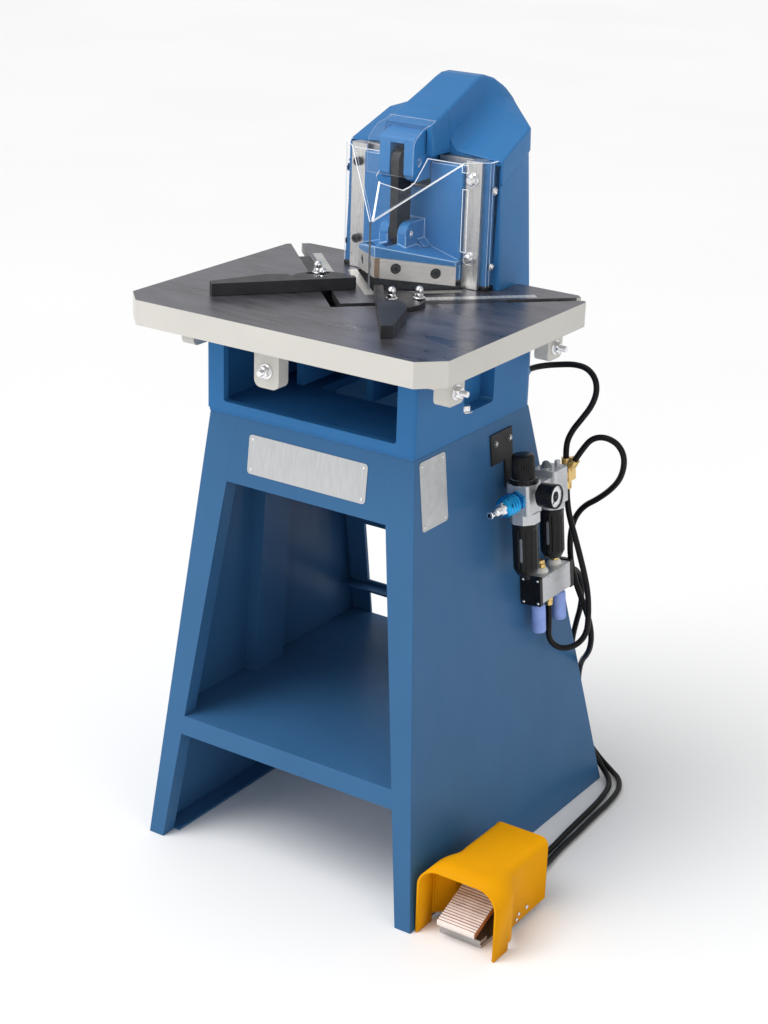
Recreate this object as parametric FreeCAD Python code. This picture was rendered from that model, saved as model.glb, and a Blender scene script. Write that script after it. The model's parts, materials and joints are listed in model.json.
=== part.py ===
import FreeCAD, Part
from FreeCAD import Vector
import math
import os

# Corner notcher: a folded sheet stand carries a cast box, a chamfered table and
# a C-frame.  Inside the head a rocker, worked by an air cylinder in the column,
# pushes a black link that drives a V ram with two shear blades.
# All shapes are drawn with the machine's middle plane at x = 0, the operator at
# -y and the floor at z = 0, and are moved by SHIFT when they are written.

SHIFT = Vector(-62, -98, 0)

# Driving dimensions, mm
TABLE_W = 576.0
TABLE_D = 462.0
TABLE_TOP = 940.0
TABLE_T = 39.5
CHAMFER_FRONT = 35.7
CHAMFER_BACK = 28.5
SLOT_LEFT = -62.0
SLOT_RIGHT = 60.0
SLOT_W = 18.0
TEE_W = 30.0
SEAM = 750.0
SHEET = 4.0
FLANGE = 45.0
FOOT_X = 265.0
LEAN_X = 0.0968
FOOT_FRONT = -202.0
LEAN_FRONT = 0.1029
FOOT_BACK = 427.0
LEAN_BACK = 0.2874
OPEN_TOP = 641.0
SHELF_TOP = 226.0
BOX_X = 195.0
BOX_FRONT = -130.0
BOX_BACK = 225.0
BOX_WALL = 12.0
COL_FRONT = 174.0
COL_BACK = 272.0
SPINE_BACK = 338.0
HEAD_TOP = 1250.0
VERTEX_Y = 40.0
BLADE_T = 9.0
BLADE_L = 131.0
STROKE = 26.0
GAP = 0.3
PIVOT_Y = 196.0
PIVOT_Z = 1123.0
FRONT_ARM = 88.0
REAR_ARM = 46.0
LINK_PIN_Z = 1022.6
LINK_PIN_Y = 108.5
GUARD_T = 4.0
FENCE_H = 20.0
ARC_R = 43.0
AIR_X = 246.0
AIR_Z = 632.0
GAUGE_Z = 641.0
INLET_Z = 633.0
OUTLET_Z = 634.0
SIDE_ARM = 55.0
NEEDLE_REST = 135.0
VALVE_W = 35.0
PEDAL_X = 340.0
HOSE_D = 10.0

REST_TILT = math.asin(STROKE / 2 / FRONT_ARM)
NOSE_PIN_Y = PIVOT_Y - FRONT_ARM * math.cos(REST_TILT)
NOSE_PIN_Z = PIVOT_Z + FRONT_ARM * math.sin(REST_TILT)
ROD_PIN_Y = PIVOT_Y + REAR_ARM * math.cos(REST_TILT)
ROD_PIN_Z = PIVOT_Z - REAR_ARM * math.sin(REST_TILT)
TABLE_LOW = TABLE_TOP - TABLE_T
R2 = math.sqrt(2.0)
LEAN = math.atan(LEAN_X)
PANEL_X = AIR_X - (AIR_X - FOOT_X + LEAN_X * AIR_Z) * math.cos(LEAN)


# ---------------------------------------------------------------- helpers
def box(x0, x1, y0, y1, z0, z1):
    return Part.makeBox(x1 - x0, y1 - y0, z1 - z0, Vector(x0, y0, z0))


def bar(x, y, z, way, radius, length):
    """Round bar that starts at a point and runs along a direction."""
    return Part.makeCylinder(radius, length, Vector(x, y, z), Vector(*way))


def cone(x, y, z, way, r0, r1, length):
    return Part.makeCone(r0, r1, length, Vector(x, y, z), Vector(*way))


def slab(points, push):
    """Flat outline in space, pushed along a vector into a solid."""
    ring = [Vector(*p) for p in points]
    ring.append(ring[0])
    return Part.Face(Part.makePolygon(ring)).extrude(Vector(*push))


def plan(points, z0, z1):
    return slab([(x, y, z0) for x, y in points], (0, 0, z1 - z0))


def profile(points, x0, x1):
    return slab([(x0, y, z) for y, z in points], (x1 - x0, 0, 0))


def front(points, y0, y1):
    return slab([(x, y0, z) for x, z in points], (0, y1 - y0, 0))


def loft(rings):
    wires = []
    for ring in rings:
        pts = [Vector(*p) for p in ring]
        pts.append(pts[0])
        wires.append(Part.makePolygon(pts))
    return Part.makeLoft(wires, True, True)


def join(shapes):
    return shapes[0].multiFuse(shapes[1:]).removeSplitter()


def less(shape, tools):
    for tool in tools:
        shape = shape.cut(tool)
    return shape


def flip(shape):
    return shape.mirror(Vector(0, 0, 0), Vector(1, 0, 0))


def both(shape):
    return [shape, flip(shape)]


def soften(shape, radius, test):
    return shape.makeFillet(radius, [e for e in shape.Edges if test(e)])


def upright(edge):
    a = edge.Vertexes[0].Point
    b = edge.Vertexes[-1].Point
    return abs(a.z - b.z) > 4 and abs(a.x - b.x) + abs(a.y - b.y) < 0.2


def along_y(edge):
    a = edge.Vertexes[0].Point
    b = edge.Vertexes[-1].Point
    return abs(a.y - b.y) > 4 and abs(a.x - b.x) + abs(a.z - b.z) < 0.2


def along_x(edge):
    a = edge.Vertexes[0].Point
    b = edge.Vertexes[-1].Point
    return abs(a.x - b.x) > 4 and abs(a.y - b.y) + abs(a.z - b.z) < 0.2


def hexagon(x, y, z, way, flats, length):
    """Hexagonal prism with its axis along x, y or z."""
    r = flats / math.sqrt(3.0)
    pts = []
    for i in range(6):
        a = math.radians(60 * i + 30)
        u = r * math.cos(a)
        v = r * math.sin(a)
        if way[0]:
            pts.append((x, y + u, z + v))
        elif way[1]:
            pts.append((x + u, y, z + v))
        else:
            pts.append((x + u, y + v, z))
    return slab(pts, [c * length for c in way])


def hex_bolt(x, y, z, way, r_shank, depth, flats, head):
    """Head outside the point, washer under it, shank into the body."""
    back = tuple(-c for c in way)
    washer = bar(x, y, z, way, flats * 0.72, 1.8)
    step = [p + 1.8 * c for p, c in zip((x, y, z), way)]
    nut = hexagon(step[0], step[1], step[2], way, flats, head)
    shank = bar(x, y, z, back, r_shank, depth)
    return join([washer, nut, shank])


# ---------------------------------------------------------------- stand
def side_x(z):
    return FOOT_X - LEAN_X * z


def front_y(z):
    return FOOT_FRONT + LEAN_FRONT * z


def back_y(z):
    return FOOT_BACK - LEAN_BACK * z


def opening_x(z):
    return 235.7 - 0.1312 * z


def stand_block(inset, z0, z1):
    rings = []
    for z in (z0, z1):
        x = side_x(z) - inset
        a = front_y(z) + inset
        b = back_y(z) - inset
        rings.append([(-x, a, z), (x, a, z), (x, b, z), (-x, b, z)])
    return loft(rings)


def stand_shell():
    return stand_block(0, 0, SEAM).cut(stand_block(SHEET, -20, SEAM + 20))


def flange_zone():
    """Everything outward of the right panel's front and back flange edges."""
    edge = [(opening_x(0), -1), (opening_x(SEAM), SEAM + 1), (320, SEAM + 1), (320, -1)]
    rear = [(side_x(0) - FLANGE, -1), (side_x(SEAM) - FLANGE, SEAM + 1), (320, SEAM + 1), (320, -1)]
    return front(edge, -300, 60).fuse(front(rear, 60, 500))


def stand_side():
    panel = stand_shell().common(flange_zone())
    strip = [(opening_x(0), 0), (opening_x(OPEN_TOP), OPEN_TOP),
             (opening_x(OPEN_TOP) + SHEET, OPEN_TOP), (opening_x(0) + SHEET, 0)]
    band = [(front_y(0) + 2, 0), (front_y(OPEN_TOP) + 2, OPEN_TOP),
            (front_y(OPEN_TOP) + 29, OPEN_TOP), (front_y(0) + 29, 0)]
    lip = front(strip, -260, 60).common(profile(band, 100, 280))
    foot = stand_block(SHEET, 0, SEAM).common(box(0, 300, -300, 500, 0, SHEET))
    inner = front([(opening_x(0) + SHEET, -1), (side_x(0) - 40, -1), (side_x(0) - 40, 9),
                   (300, 9), (300, -1)], -172, 380)
    foot = foot.common(box(side_x(0) - 40, 300, -172, 380, -1, 9)).common(inner)
    return join([panel, lip, foot])


def stand_front_panel():
    outline = [(-opening_x(OPEN_TOP), OPEN_TOP), (opening_x(OPEN_TOP), OPEN_TOP),
               (opening_x(SEAM), SEAM), (-opening_x(SEAM), SEAM)]
    panel = stand_shell().common(front(outline, -300, 60))
    half = opening_x(OPEN_TOP)
    hem = box(-half, half, front_y(OPEN_TOP) + 2, front_y(OPEN_TOP) + 29, OPEN_TOP, OPEN_TOP + SHEET)
    hem = hem.common(front(outline, -300, 60))
    return join([panel, hem])


def stand_back_panel():
    """Sheet inside the back flanges, with a low window between them and a ledge."""
    low = 290.0
    z0 = 302.0
    z1 = 427.0
    shell = stand_block(SHEET, low, SEAM).cut(stand_block(2 * SHEET, low - 20, SEAM + 20))
    edge = 2 * SHEET + 0.5
    outline = [(edge - side_x(low), low), (side_x(low) - edge, low),
               (side_x(SEAM) - edge, SEAM), (edge - side_x(SEAM), SEAM)]
    panel = shell.common(front(outline, 60, 500))
    half0 = side_x(z0) - FLANGE - 1
    half1 = side_x(z1) - FLANGE - 1
    window = front([(-half0, z0), (half0, z0), (half1, z1), (-half1, z1)], 60, 500)
    half = side_x(low + SHEET) - SHEET
    hem = box(-half, half, back_y(low) - 36, back_y(low + SHEET) - SHEET, low, low + SHEET)
    return join([panel.cut(window), hem])


def stand_shelf(sides):
    deck = stand_block(SHEET, SHELF_TOP - SHEET, SHELF_TOP)
    deck = deck.common(box(-300, 300, front_y(SHELF_TOP), 500, 0, 400))
    low = SHELF_TOP - 33
    outline = [(-opening_x(low), low), (opening_x(low), low),
               (opening_x(SHELF_TOP), SHELF_TOP), (-opening_x(SHELF_TOP), SHELF_TOP)]
    apron = stand_shell().common(front(outline, -300, 60))
    return join([less(deck, sides), less(apron, sides)])


def stand_stiffener():
    """Channel on the inside of a side panel, open towards the panel."""
    rings = []
    hollow = []
    for z, y0, y1 in ((SHELF_TOP, 28, 106), (SEAM - 12, -2, 74)):
        x1 = side_x(z) - SHEET
        x0 = x1 - 24
        rings.append([(x0, y0, z), (x1, y0, z), (x1, y1, z), (x0, y1, z)])
        hollow.append([(x0 + 4, y0 + 4, z), (x1 + 9, y0 + 4, z), (x1 + 9, y1 - 4, z), (x0 + 4, y1 - 4, z)])
    return loft(rings).cut(loft(hollow))


# ---------------------------------------------------------------- cast box
def die_opening(grow):
    """Plan outline of the opening behind the lower blades."""
    y = VERTEX_Y - 0.45 - grow * R2
    x = 99 + grow
    return [(0, y), (x, y + x), (x, 161 + grow), (-x, 161 + grow), (-x, y + x)]


def lower_casting():
    shell = box(-BOX_X, BOX_X, BOX_FRONT, BOX_BACK, SEAM, TABLE_LOW)
    shell = soften(shell, 30, lambda e: upright(e) and e.CenterOfMass.y > 0)
    shell = soften(shell, 5, lambda e: upright(e) and e.CenterOfMass.y < 0)
    w = BOX_WALL
    cave = box(-BOX_X + w, BOX_X - w, BOX_FRONT + w, BOX_BACK - w, SEAM + 15, TABLE_LOW - w)
    cave = soften(cave, 18, lambda e: upright(e) and e.CenterOfMass.y > 0)
    mouth = box(-162, 162, BOX_FRONT - 9, BOX_FRONT + w + 9, 771, 880)
    mouth = soften(mouth, 5, along_y)
    reveal = box(-300, 300, -300, 300, SEAM - 1, SEAM + 6)
    keep = box(-BOX_X + 3, BOX_X - 3, BOX_FRONT + 3, BOX_BACK - 3, SEAM - 2, SEAM + 7)
    reveal = reveal.cut(keep)
    body = less(shell, [cave, mouth, reveal])
    parts = [body]
    for sign in (-1, 1):
        a, b = sorted((sign * 160, sign * 184))
        parts.append(box(a, b, -7, 105, 776, TABLE_LOW - w))
        a, b = sorted((sign * 60, sign * 72))
        parts.append(box(a, b, -60, BOX_BACK - w, 800, TABLE_LOW - w))
    body = join(parts)
    for sign in (-1, 1):
        a, b = sorted((sign * 170, sign * 210))
        pocket = box(a, b, 5, 93, 788, TABLE_LOW - w)
        body = body.cut(soften(pocket, 6, lambda e: along_x(e) and e.CenterOfMass.z < 800))
        body = body.cut(bar(sign * 185, 22, 788, (0, 0, -1), 6, 12))
    body = body.cut(plan(die_opening(0), 870, 920))
    body = body.cut(box(-95, 95, 30, 150, SEAM - 2, SEAM + 20))
    boss = bar(172, BOX_BACK - 6, 799, (0, 1, 0), 9, 13)
    return join([body, boss])


# ---------------------------------------------------------------- C-frame
def column_ring(z, y_front):
    """Plan outline of the column: wide front part, back drawn in to a spine."""
    fw = 147.5 - 0.029 * (z - TABLE_TOP)
    bw = 146.5 - 0.056 * (z - TABLE_TOP)
    sw = 62.0
    return [(-fw, y_front, z), (fw, y_front, z), (bw, COL_BACK, z), (sw, SPINE_BACK, z),
            (-sw, SPINE_BACK, z), (-bw, COL_BACK, z)]


def column_top(y):
    """The column's top face slopes up to the back."""
    return 1143 + 0.398 * (y - COL_FRONT)


def column_body():
    upper = loft([column_ring(TABLE_LOW, COL_FRONT), column_ring(1230.0, COL_FRONT)])
    flank = [(100, 800), (400, 800), (400, column_top(400)), (100, column_top(100))]
    upper = upper.common(profile(flank, -200, 200))
    lower = loft([column_ring(757.0, BOX_BACK), column_ring(TABLE_LOW, BOX_BACK)])
    return upper.fuse(lower)


def head_body():
    flank = [(124, 1148), (124, 1192), (226, 1231.5), (258, 1245), (274, HEAD_TOP), (290, HEAD_TOP),
             (312, 1242), (330, 1228), (SPINE_BACK, 1214), (SPINE_BACK, 1150), (200, 1148)]
    solid = profile(flank, -90, 90)
    rings = []
    for y, half in ((120.0, 42.6), (306.0, 45.5)):
        low = half + 0.136 * 100
        top = half - 0.136 * 60
        rings.append([(-low, y, 1095), (low, y, 1095), (top, y, 1255), (-top, y, 1255)])
    rings.append([(-59.5, 350.0, 1095), (59.5, 350.0, 1095), (37.7, 350.0, 1255), (-37.7, 350.0, 1255)])
    return solid.common(loft(rings))


def shoulder_ring(front_x, back_x, spine_x, z, slope):
    """Outline of the shoulder at one height, in a plane that rises to the back."""
    half = [(front_x, COL_FRONT), (back_x, COL_BACK), (spine_x, SPINE_BACK)]
    plan_ring = [(-x, y) for x, y in half[:1]] + half + [(-x, y) for x, y in half[:0:-1]]
    return [(x, y, z + slope * (y - COL_FRONT)) for x, y in plan_ring]


def shoulder_body():
    """Hollow flare from the sloping top of the column up to the sides of the head."""
    rings = [shoulder_ring(142, 134, 62, 1137, 0.398),
             shoulder_ring(76, 76, 60, 1146, 0.42),
             shoulder_ring(59, 61, 55, 1152, 0.40),
             shoulder_ring(50, 53, 51, 1162, 0.35),
             shoulder_ring(45.5, 48.5, 48, 1176, 0.28)]
    return loft(rings)


def column_inner(z):
    return [(-124, 182, z), (124, 182, z), (124, COL_BACK - 8, z), (54, SPINE_BACK - 9, z),
            (-54, SPINE_BACK - 9, z), (-124, COL_BACK - 8, z)]


def frame_casting():
    cheek = box(122, 132.7, 157, COL_FRONT + 4, 947, 1143)
    body = join([column_body(), shoulder_body(), head_body()] + both(cheek))
    hollow = box(-122, 122, 182, 300, 912, 1130)
    hollow = hollow.common(loft([column_inner(900), column_inner(1140)]))
    throat = [(100, 1090), (100, 1186), (124, 1186), (226, 1224), (262, 1238), (290, 1238),
              (290, 1180), (270, 1120), (230, 1088), (186, 1088), (170, 1090)]
    tunnel = profile(throat, -35.5, 35.5)
    body = less(body, [hollow, tunnel])
    webs = []
    for a, b in ((-47, -35.5), (35.5, 47)):
        webs.append(box(a, b, 181, 222, 1096, 1132))
    body = join([body] + webs)
    hole = bar(-60, PIVOT_Y, PIVOT_Z, (1, 0, 0), 8, 120)
    gibs = box(-121.5, 121.5, 140, COL_FRONT, 900, 1143)
    return less(body, [hole, gibs] + guard_fixings())


def rocker_pivot_pin():
    return bar(-47, PIVOT_Y, PIVOT_Z, (1, 0, 0), 8, 94)


def air_cylinder():
    y = PIVOT_Y + REAR_ARM - 0.25
    tube = bar(0, y, 912, (0, 0, 1), 27, 133)
    bore = bar(0, y, 922, (0, 0, 1), 22, 112)
    gland = bar(0, y, 1030, (0, 0, 1), 9.05, 20)
    ports = bar(0, y - 27, 926, (0, -1, 0), 6, 8)
    return join([less(tube, [bore, gland]), ports.cut(bore)])


def piston_rod():
    y = PIVOT_Y + REAR_ARM - 0.25
    stem = bar(0, y, 940, (0, 0, 1), 9, 158)
    piston = bar(0, y, 926, (0, 0, 1), 21.9, 16)
    foot = box(-20, 20, y - 13, y + 13, 1090, 1101)
    ears = []
    for a, b in ((-20, -11.6), (11.6, 20)):
        ears.append(box(a, b, y - 13, y + 13, 1100, ROD_PIN_Z))
        ears.append(bar(a, y, ROD_PIN_Z, (1, 0, 0), 13, b - a))
    fork = join([foot] + ears)
    slot = join([bar(-30, y - 0.35, ROD_PIN_Z, (1, 0, 0), 7.15, 60),
                 bar(-30, y + 0.35, ROD_PIN_Z, (1, 0, 0), 7.15, 60)])
    return join([stem, piston, fork]).cut(slot)


# ---------------------------------------------------------------- rocker and link
def rocker():
    flank = [(95, 1117), (95, 1174), (124, 1184), (150, 1187), (186, 1186), (214, 1152),
             (216, 1123), (196, 1103), (176, 1105), (143, 1107), (131, 1107), (105, 1107)]
    body = profile(flank, -32, 32)
    body = soften(body, 5, lambda e: along_x(e) and e.CenterOfMass.y < 100)
    tail = join([profile([(200, 1140), (200, 1108), (ROD_PIN_Y, ROD_PIN_Z - 12.5),
                          (ROD_PIN_Y, ROD_PIN_Z + 12.5)], -11, 11),
                 bar(-11, ROD_PIN_Y, ROD_PIN_Z, (1, 0, 0), 12.5, 22)])
    body = join([body, tail])
    slot = box(-13, 13, 80, 131, 1100, 1165)
    shaft = bar(-60, PIVOT_Y, PIVOT_Z, (1, 0, 0), 8.05, 120)
    pin = bar(-60, NOSE_PIN_Y, NOSE_PIN_Z, (1, 0, 0), 7, 120)
    rear = bar(-60, ROD_PIN_Y, ROD_PIN_Z, (1, 0, 0), 7, 120)
    return less(body, [slot, shaft, pin, rear])


def rocker_pins():
    nose = bar(-32, NOSE_PIN_Y, NOSE_PIN_Z, (1, 0, 0), 7, 64)
    rear = bar(-19, ROD_PIN_Y, ROD_PIN_Z, (1, 0, 0), 7, 38)
    return Part.makeCompound([nose, rear])


def link():
    strap = box(-7, 7, NOSE_PIN_Y - 18.5, NOSE_PIN_Y + 18.5, LINK_PIN_Z, NOSE_PIN_Z)
    top = bar(-7, NOSE_PIN_Y, NOSE_PIN_Z, (1, 0, 0), 18.5, 14)
    low = bar(-7, NOSE_PIN_Y, LINK_PIN_Z, (1, 0, 0), 18.5, 14)
    body = join([strap, top, low])
    slide = FRONT_ARM * (1 - math.cos(REST_TILT)) + 0.05
    holes = [bar(-9, NOSE_PIN_Y, NOSE_PIN_Z, (1, 0, 0), 7.05, 18)]
    for dy in (-0.05, slide):
        holes.append(bar(-9, LINK_PIN_Y + dy, LINK_PIN_Z, (1, 0, 0), 8.2, 18))
    holes.append(box(-9, 9, LINK_PIN_Y - 0.05, LINK_PIN_Y + slide, LINK_PIN_Z - 8.2, LINK_PIN_Z + 8.2))
    return less(body, holes)


# ---------------------------------------------------------------- ram
def gable(z_mid, drop, z_low, drop_low):
    """Front outline with a ridge in the middle that falls to both sides."""
    x = 100.0
    return [(-x, z_mid - drop * x), (0, z_mid), (x, z_mid - drop * x),
            (x, z_low - drop_low * x), (0, z_low), (-x, z_low - drop_low * x)]


def vee(y_tip, half, y_back):
    return [(0, y_tip), (half, y_tip + half), (half, y_back), (-half, y_back), (-half, y_tip + half)]


def ram():
    shelf = plan(vee(VERTEX_Y, 92, 160), 900, 1100).common(front(gable(1012, 0.2935, 994.5, 0.1935), 0, 200))
    core = plan(vee(VERTEX_Y + BLADE_T * R2, 92, 160), 900, 1100)
    core = core.common(front(gable(994.6, 0.1935, 966, 0.14), 0, 200))
    plate = box(-92, 92, 142, 160, 985, 1133)
    plate = soften(plate, 3, lambda e: upright(e) and e.CenterOfMass.y < 150)
    tongue = box(91, 100, 154, 160, 985, 1133)
    ridge = slab([(-40, 142, 1002), (0, 142, 1030), (40, 142, 1002)], (0, -20, 0))
    r = 19.5
    ears = join([bar(-25, LINK_PIN_Y, LINK_PIN_Z, (1, 0, 0), r, 50),
                 box(-25, 25, LINK_PIN_Y, 142, 1000, LINK_PIN_Z + r),
                 box(-25, 25, LINK_PIN_Y - r, 142, 1000, LINK_PIN_Z)])
    body = join([shelf, core, plate, ridge, ears] + both(tongue))
    slot = box(-9, 9, 60, 135, 1001, 1060)
    bore = bar(-40, LINK_PIN_Y, LINK_PIN_Z, (1, 0, 0), 8, 80)
    notch = box(-33.5, 33.5, 130, 170, 1089, 1140)
    notch = soften(notch, 10, lambda e: along_y(e) and e.CenterOfMass.z < 1100)
    return less(body, [slot, bore, notch] + blade_screws_list())


def clevis_pin():
    return bar(-26, LINK_PIN_Y, LINK_PIN_Z, (1, 0, 0), 8, 52)


def blade_face(s):
    c = s / R2
    return c, VERTEX_Y + c, 994.5 - 18 * s / BLADE_L, 962.5 - 16.5 * s / BLADE_L


def upper_blade(start, side):
    x0, y0, t0, b0 = blade_face(start)
    x1, y1, t1, b1 = blade_face(BLADE_L)
    t = BLADE_T / R2
    pts = [(side * x0, y0, b0), (side * x1, y1, b1), (side * x1, y1, t1), (side * x0, y0, t0)]
    return slab(pts, (-side * t, t, 0))


def blade_screw_places():
    """Middle of each screw head on a blade's face, and the way the screw is driven."""
    places = []
    for side in (-1, 1):
        for s, z in ((30, 976), (94, 967)):
            c = (s + 4.5) / R2
            places.append((Vector(side * c, VERTEX_Y + c, z), Vector(-side / R2, 1 / R2, 0)))
    return places


def blade_screws_list():
    screws = []
    for spot, way in blade_screw_places():
        head = Part.makeCylinder(8.5, 5, spot + way * 0.4, way)
        shank = Part.makeCylinder(4.5, 16, spot + way * 5, way)
        screws.append(head.fuse(shank).removeSplitter())
    return screws


def blade_recesses():
    """Room in front of each head, so that the counterbore opens on the blade's face."""
    return [Part.makeCylinder(8.5, 1.4, spot - way, way) for spot, way in blade_screw_places()]


# ---------------------------------------------------------------- slideway
def gib():
    body = box(100.6 - 8.3, 121.5, 149, COL_FRONT, TABLE_TOP + 1, 1143)
    return body.cut(box(80, 100.6, 153.6, 180, 900, 1200))


def slideway_plate():
    return less(box(-100.6, 100.6, 160.3, COL_FRONT, 945, 1143), [box(-38, 38, 150, 180, 1090, 1150)])


def gib_bolts():
    bolts = []
    for side in (-1, 1):
        for z in (989, 1114):
            head = bar(side * 107, 149, z, (0, -1, 0), 6.8, 7)
            socket = hexagon(side * 107, 142, z, (0, 1, 0), 6, 4)
            bolts.append(join([head.cut(socket), bar(side * 107, 149, z, (0, 1, 0), 3.4, 20)]))
    return bolts


# ---------------------------------------------------------------- table
def band(centre, half, s0, s1, side, z0, z1):
    """Strip under 45 degrees.  side -1 runs to the back left, 1 to the back right."""
    pts = []
    for s, t in ((s0, -half), (s1, -half), (s1, half), (s0, half)):
        across = centre / R2 + t
        x = side * s / R2 + across / R2
        y = s / R2 - side * across / R2
        pts.append((x, y))
    return plan(pts, z0, z1)


def table():
    x = TABLE_W / 2
    y = TABLE_D / 2
    f = CHAMFER_FRONT
    b = CHAMFER_BACK
    outline = [(-x + f, -y), (x - f, -y), (x, -y + f), (x, y - b), (x - b, y), (150.3, y),
               (150.3, COL_FRONT - 0.3), (-150.3, COL_FRONT - 0.3), (-150.3, y), (-x + b, y),
               (-x, y - b), (-x, -y + f)]
    top = plan(outline, TABLE_LOW, TABLE_TOP)
    tools = []
    for centre, side in ((SLOT_LEFT, -1), (SLOT_RIGHT, 1)):
        first = -53.0
        tools.append(band(centre, SLOT_W / 2, first, 400, side, TABLE_TOP - 14, TABLE_TOP + 1))
        tools.append(band(centre, TEE_W / 2, first - 6, 400, side, TABLE_TOP - 26, TABLE_TOP - 14))
        mid = centre - side * 34.5
        tools.append(band(mid, 7.5, 60, 278, side, TABLE_TOP - 1, TABLE_TOP + 1))
    tools.append(plan(die_opening(0), TABLE_LOW - 1, TABLE_TOP + 1))
    tools.append(plan([(0, 17), (110.4, 127.4), (99, 138.8), (0, 50), (-99, 138.8), (-110.4, 127.4)],
                      TABLE_TOP - 25, TABLE_TOP + 1))
    top = less(top, tools)
    lugs = [box(-60, -14, -186, -162, 831, TABLE_LOW)]
    lugs[0] = soften(lugs[0], 12, lambda e: along_y(e) and e.CenterOfMass.z < 840)
    for x0, x1, mid in ((-251, -227, -100), (227, 251, -112), (227, 251, 180), (-251, -227, 180)):
        lug = box(x0, x1, mid - 23, mid + 23, 846, TABLE_LOW)
        lugs.append(soften(lug, 10, lambda e: along_x(e) and e.CenterOfMass.z < 850))
    top = join([top] + lugs)
    holes = [bar(-38, -190, 858, (0, 1, 0), 5, 40)]
    for side, mid in ((-1, -100), (1, -112), (1, 180), (-1, 180)):
        holes.append(bar(side * 260, mid, 866, (-side, 0, 0), 5, 50))
    return less(top, holes)


def levelling_screws():
    items = [join([hex_bolt(-38, -186, 858, (0, -1, 0), 5, 28, 17, 9),
                   bar(-38, -194, 858, (0, -1, 0), 5, 8)])]
    for side, mid in ((-1, -100), (1, -112), (1, 180), (-1, 180)):
        nut = hex_bolt(side * 251, mid, 866, (side, 0, 0), 5, 56, 17, 8)
        items.append(join([nut, bar(side * 258, mid, 866, (side, 0, 0), 5, 13)]))
    for side in (-1, 1):
        items.append(hex_bolt(side * 185, 22, 788, (0, 0, 1), 6, 12, 19, 9))
    return items


def scale_strips():
    strips = []
    for centre, side in ((SLOT_LEFT, -1), (SLOT_RIGHT, 1)):
        strips.append(band(centre - side * 34.5, 7.5, 60, 278, side, TABLE_TOP - 1, TABLE_TOP))
    return strips


def lower_die():
    outline = [(0, 17), (110.4, 127.4), (99, 138.8), (99, 138.55), (0, VERTEX_Y - 0.45)]
    return plan(outline, TABLE_TOP - 25, TABLE_TOP)


# ---------------------------------------------------------------- guard
def guard():
    ny, nx = 137 / 189.55, 131 / 189.55
    face = [(0, 24, 947), (137, 155, 947), (137, 155, 1143), (105, 24 + 105 * 131 / 137, 1143), (0, 24, 1054)]
    pane = slab(face, (-nx * GUARD_T, ny * GUARD_T, 0))
    pane = pane.cut(box(-40, 0, 0, 90, 900, 1200))
    wing = box(137 - GUARD_T, 137, 155, COL_FRONT, 947, 1143)
    return join([pane, wing])


def guard_fixings():
    items = []
    for side in (-1, 1):
        a, b = sorted((side * 122, side * 137))
        items.append(box(a, b, 155, COL_FRONT, TABLE_TOP, 947))
        for z in (978, 1098):
            head = bar(side * 137, 165, z, (side, 0, 0), 5, 5)
            shank = bar(side * 137, 165, z, (-side, 0, 0), 2.5, 10)
            items.append(head.fuse(shank).removeSplitter())
    return items


# ---------------------------------------------------------------- fences
def place(shape, angle, x, y):
    shape.rotate(Vector(0, 0, 0), Vector(0, 0, 1), angle)
    shape.translate(Vector(x, y, 0))
    return shape


FENCES = {"left": (-87.0, 25.0, 49.6, 40.7, -184.7, 44.2, -1, 4.6),
          "right": (60.5, 0.5, 126.7, 26.0, -189.1, 35.7, 1, 8.3)}


def fence(which):
    """Straight bar with a working face, a gusset and a swivel plate."""
    px, py, angle, off, tail, tip, side, lean = FENCES[which]
    z0 = TABLE_TOP + GAP
    thick = 14.0
    blade = plan([(tail, -off), (tip, -off), (tip, -off + thick), (-50, -off + thick), (-56, -off + 40),
                  (-92, -off + 44), (tail, -off + 18)], z0, TABLE_TOP + FENCE_H)
    blade = blade.cut(bar(0, 0, 930, (0, 0, 1), 11.5, 60))
    blade = blade.cut(bar(0, 0, 949, (0, 0, 1), 52.5, 30).common(box(-80, 80, -off + thick, 80, 900, 990)))
    disc = bar(0, 0, z0, (0, 0, 1), 52, 7.7)
    disc = disc.cut(box(-90, 90, -200, -off + 4, 900, 990))
    body = join([blade, disc])
    arc = bar(0, 0, 930, (0, 0, 1), ARC_R + 4.4, 40).cut(bar(0, 0, 930, (0, 0, 1), ARC_R - 4.4, 40))
    a = math.radians(90 - lean)
    ends = []
    for swing in (-20, 20):
        b = a + math.radians(swing)
        ends.append((90 * math.cos(b), 90 * math.sin(b)))
    arc = arc.common(plan([(0, 0), ends[0], ends[1]], 920, 980))
    holes = [arc, bar(0, 0, 930, (0, 0, 1), 4.05, 60)]
    for swing in (-20, 20):
        b = a + math.radians(swing)
        holes.append(bar(ARC_R * math.cos(b), ARC_R * math.sin(b), 930, (0, 0, 1), 4.4, 60))
    body = less(body, holes)
    if side > 0:
        body = body.mirror(Vector(0, 0, 0), Vector(0, 1, 0))
    return place(body, angle, px, py)


def fence_slide(which):
    """Tee bar in the table slot with the pivot stud and the clamping stud."""
    px, py, angle, off, tail, tip, side, lean = FENCES[which]
    across = px + py if side < 0 else px - py
    along = (py - px) / R2 if side < 0 else (px + py) / R2
    centre = SLOT_LEFT if side < 0 else SLOT_RIGHT
    top = band(centre, SLOT_W / 2 - GAP, along - 22, along + 182, side, TABLE_TOP - 14.5, TABLE_TOP - 0.6)
    low = band(centre, TEE_W / 2 - GAP, along - 22, along + 182, side, TABLE_TOP - 25.7, TABLE_TOP - 14.3)
    return join([top, low])


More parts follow.
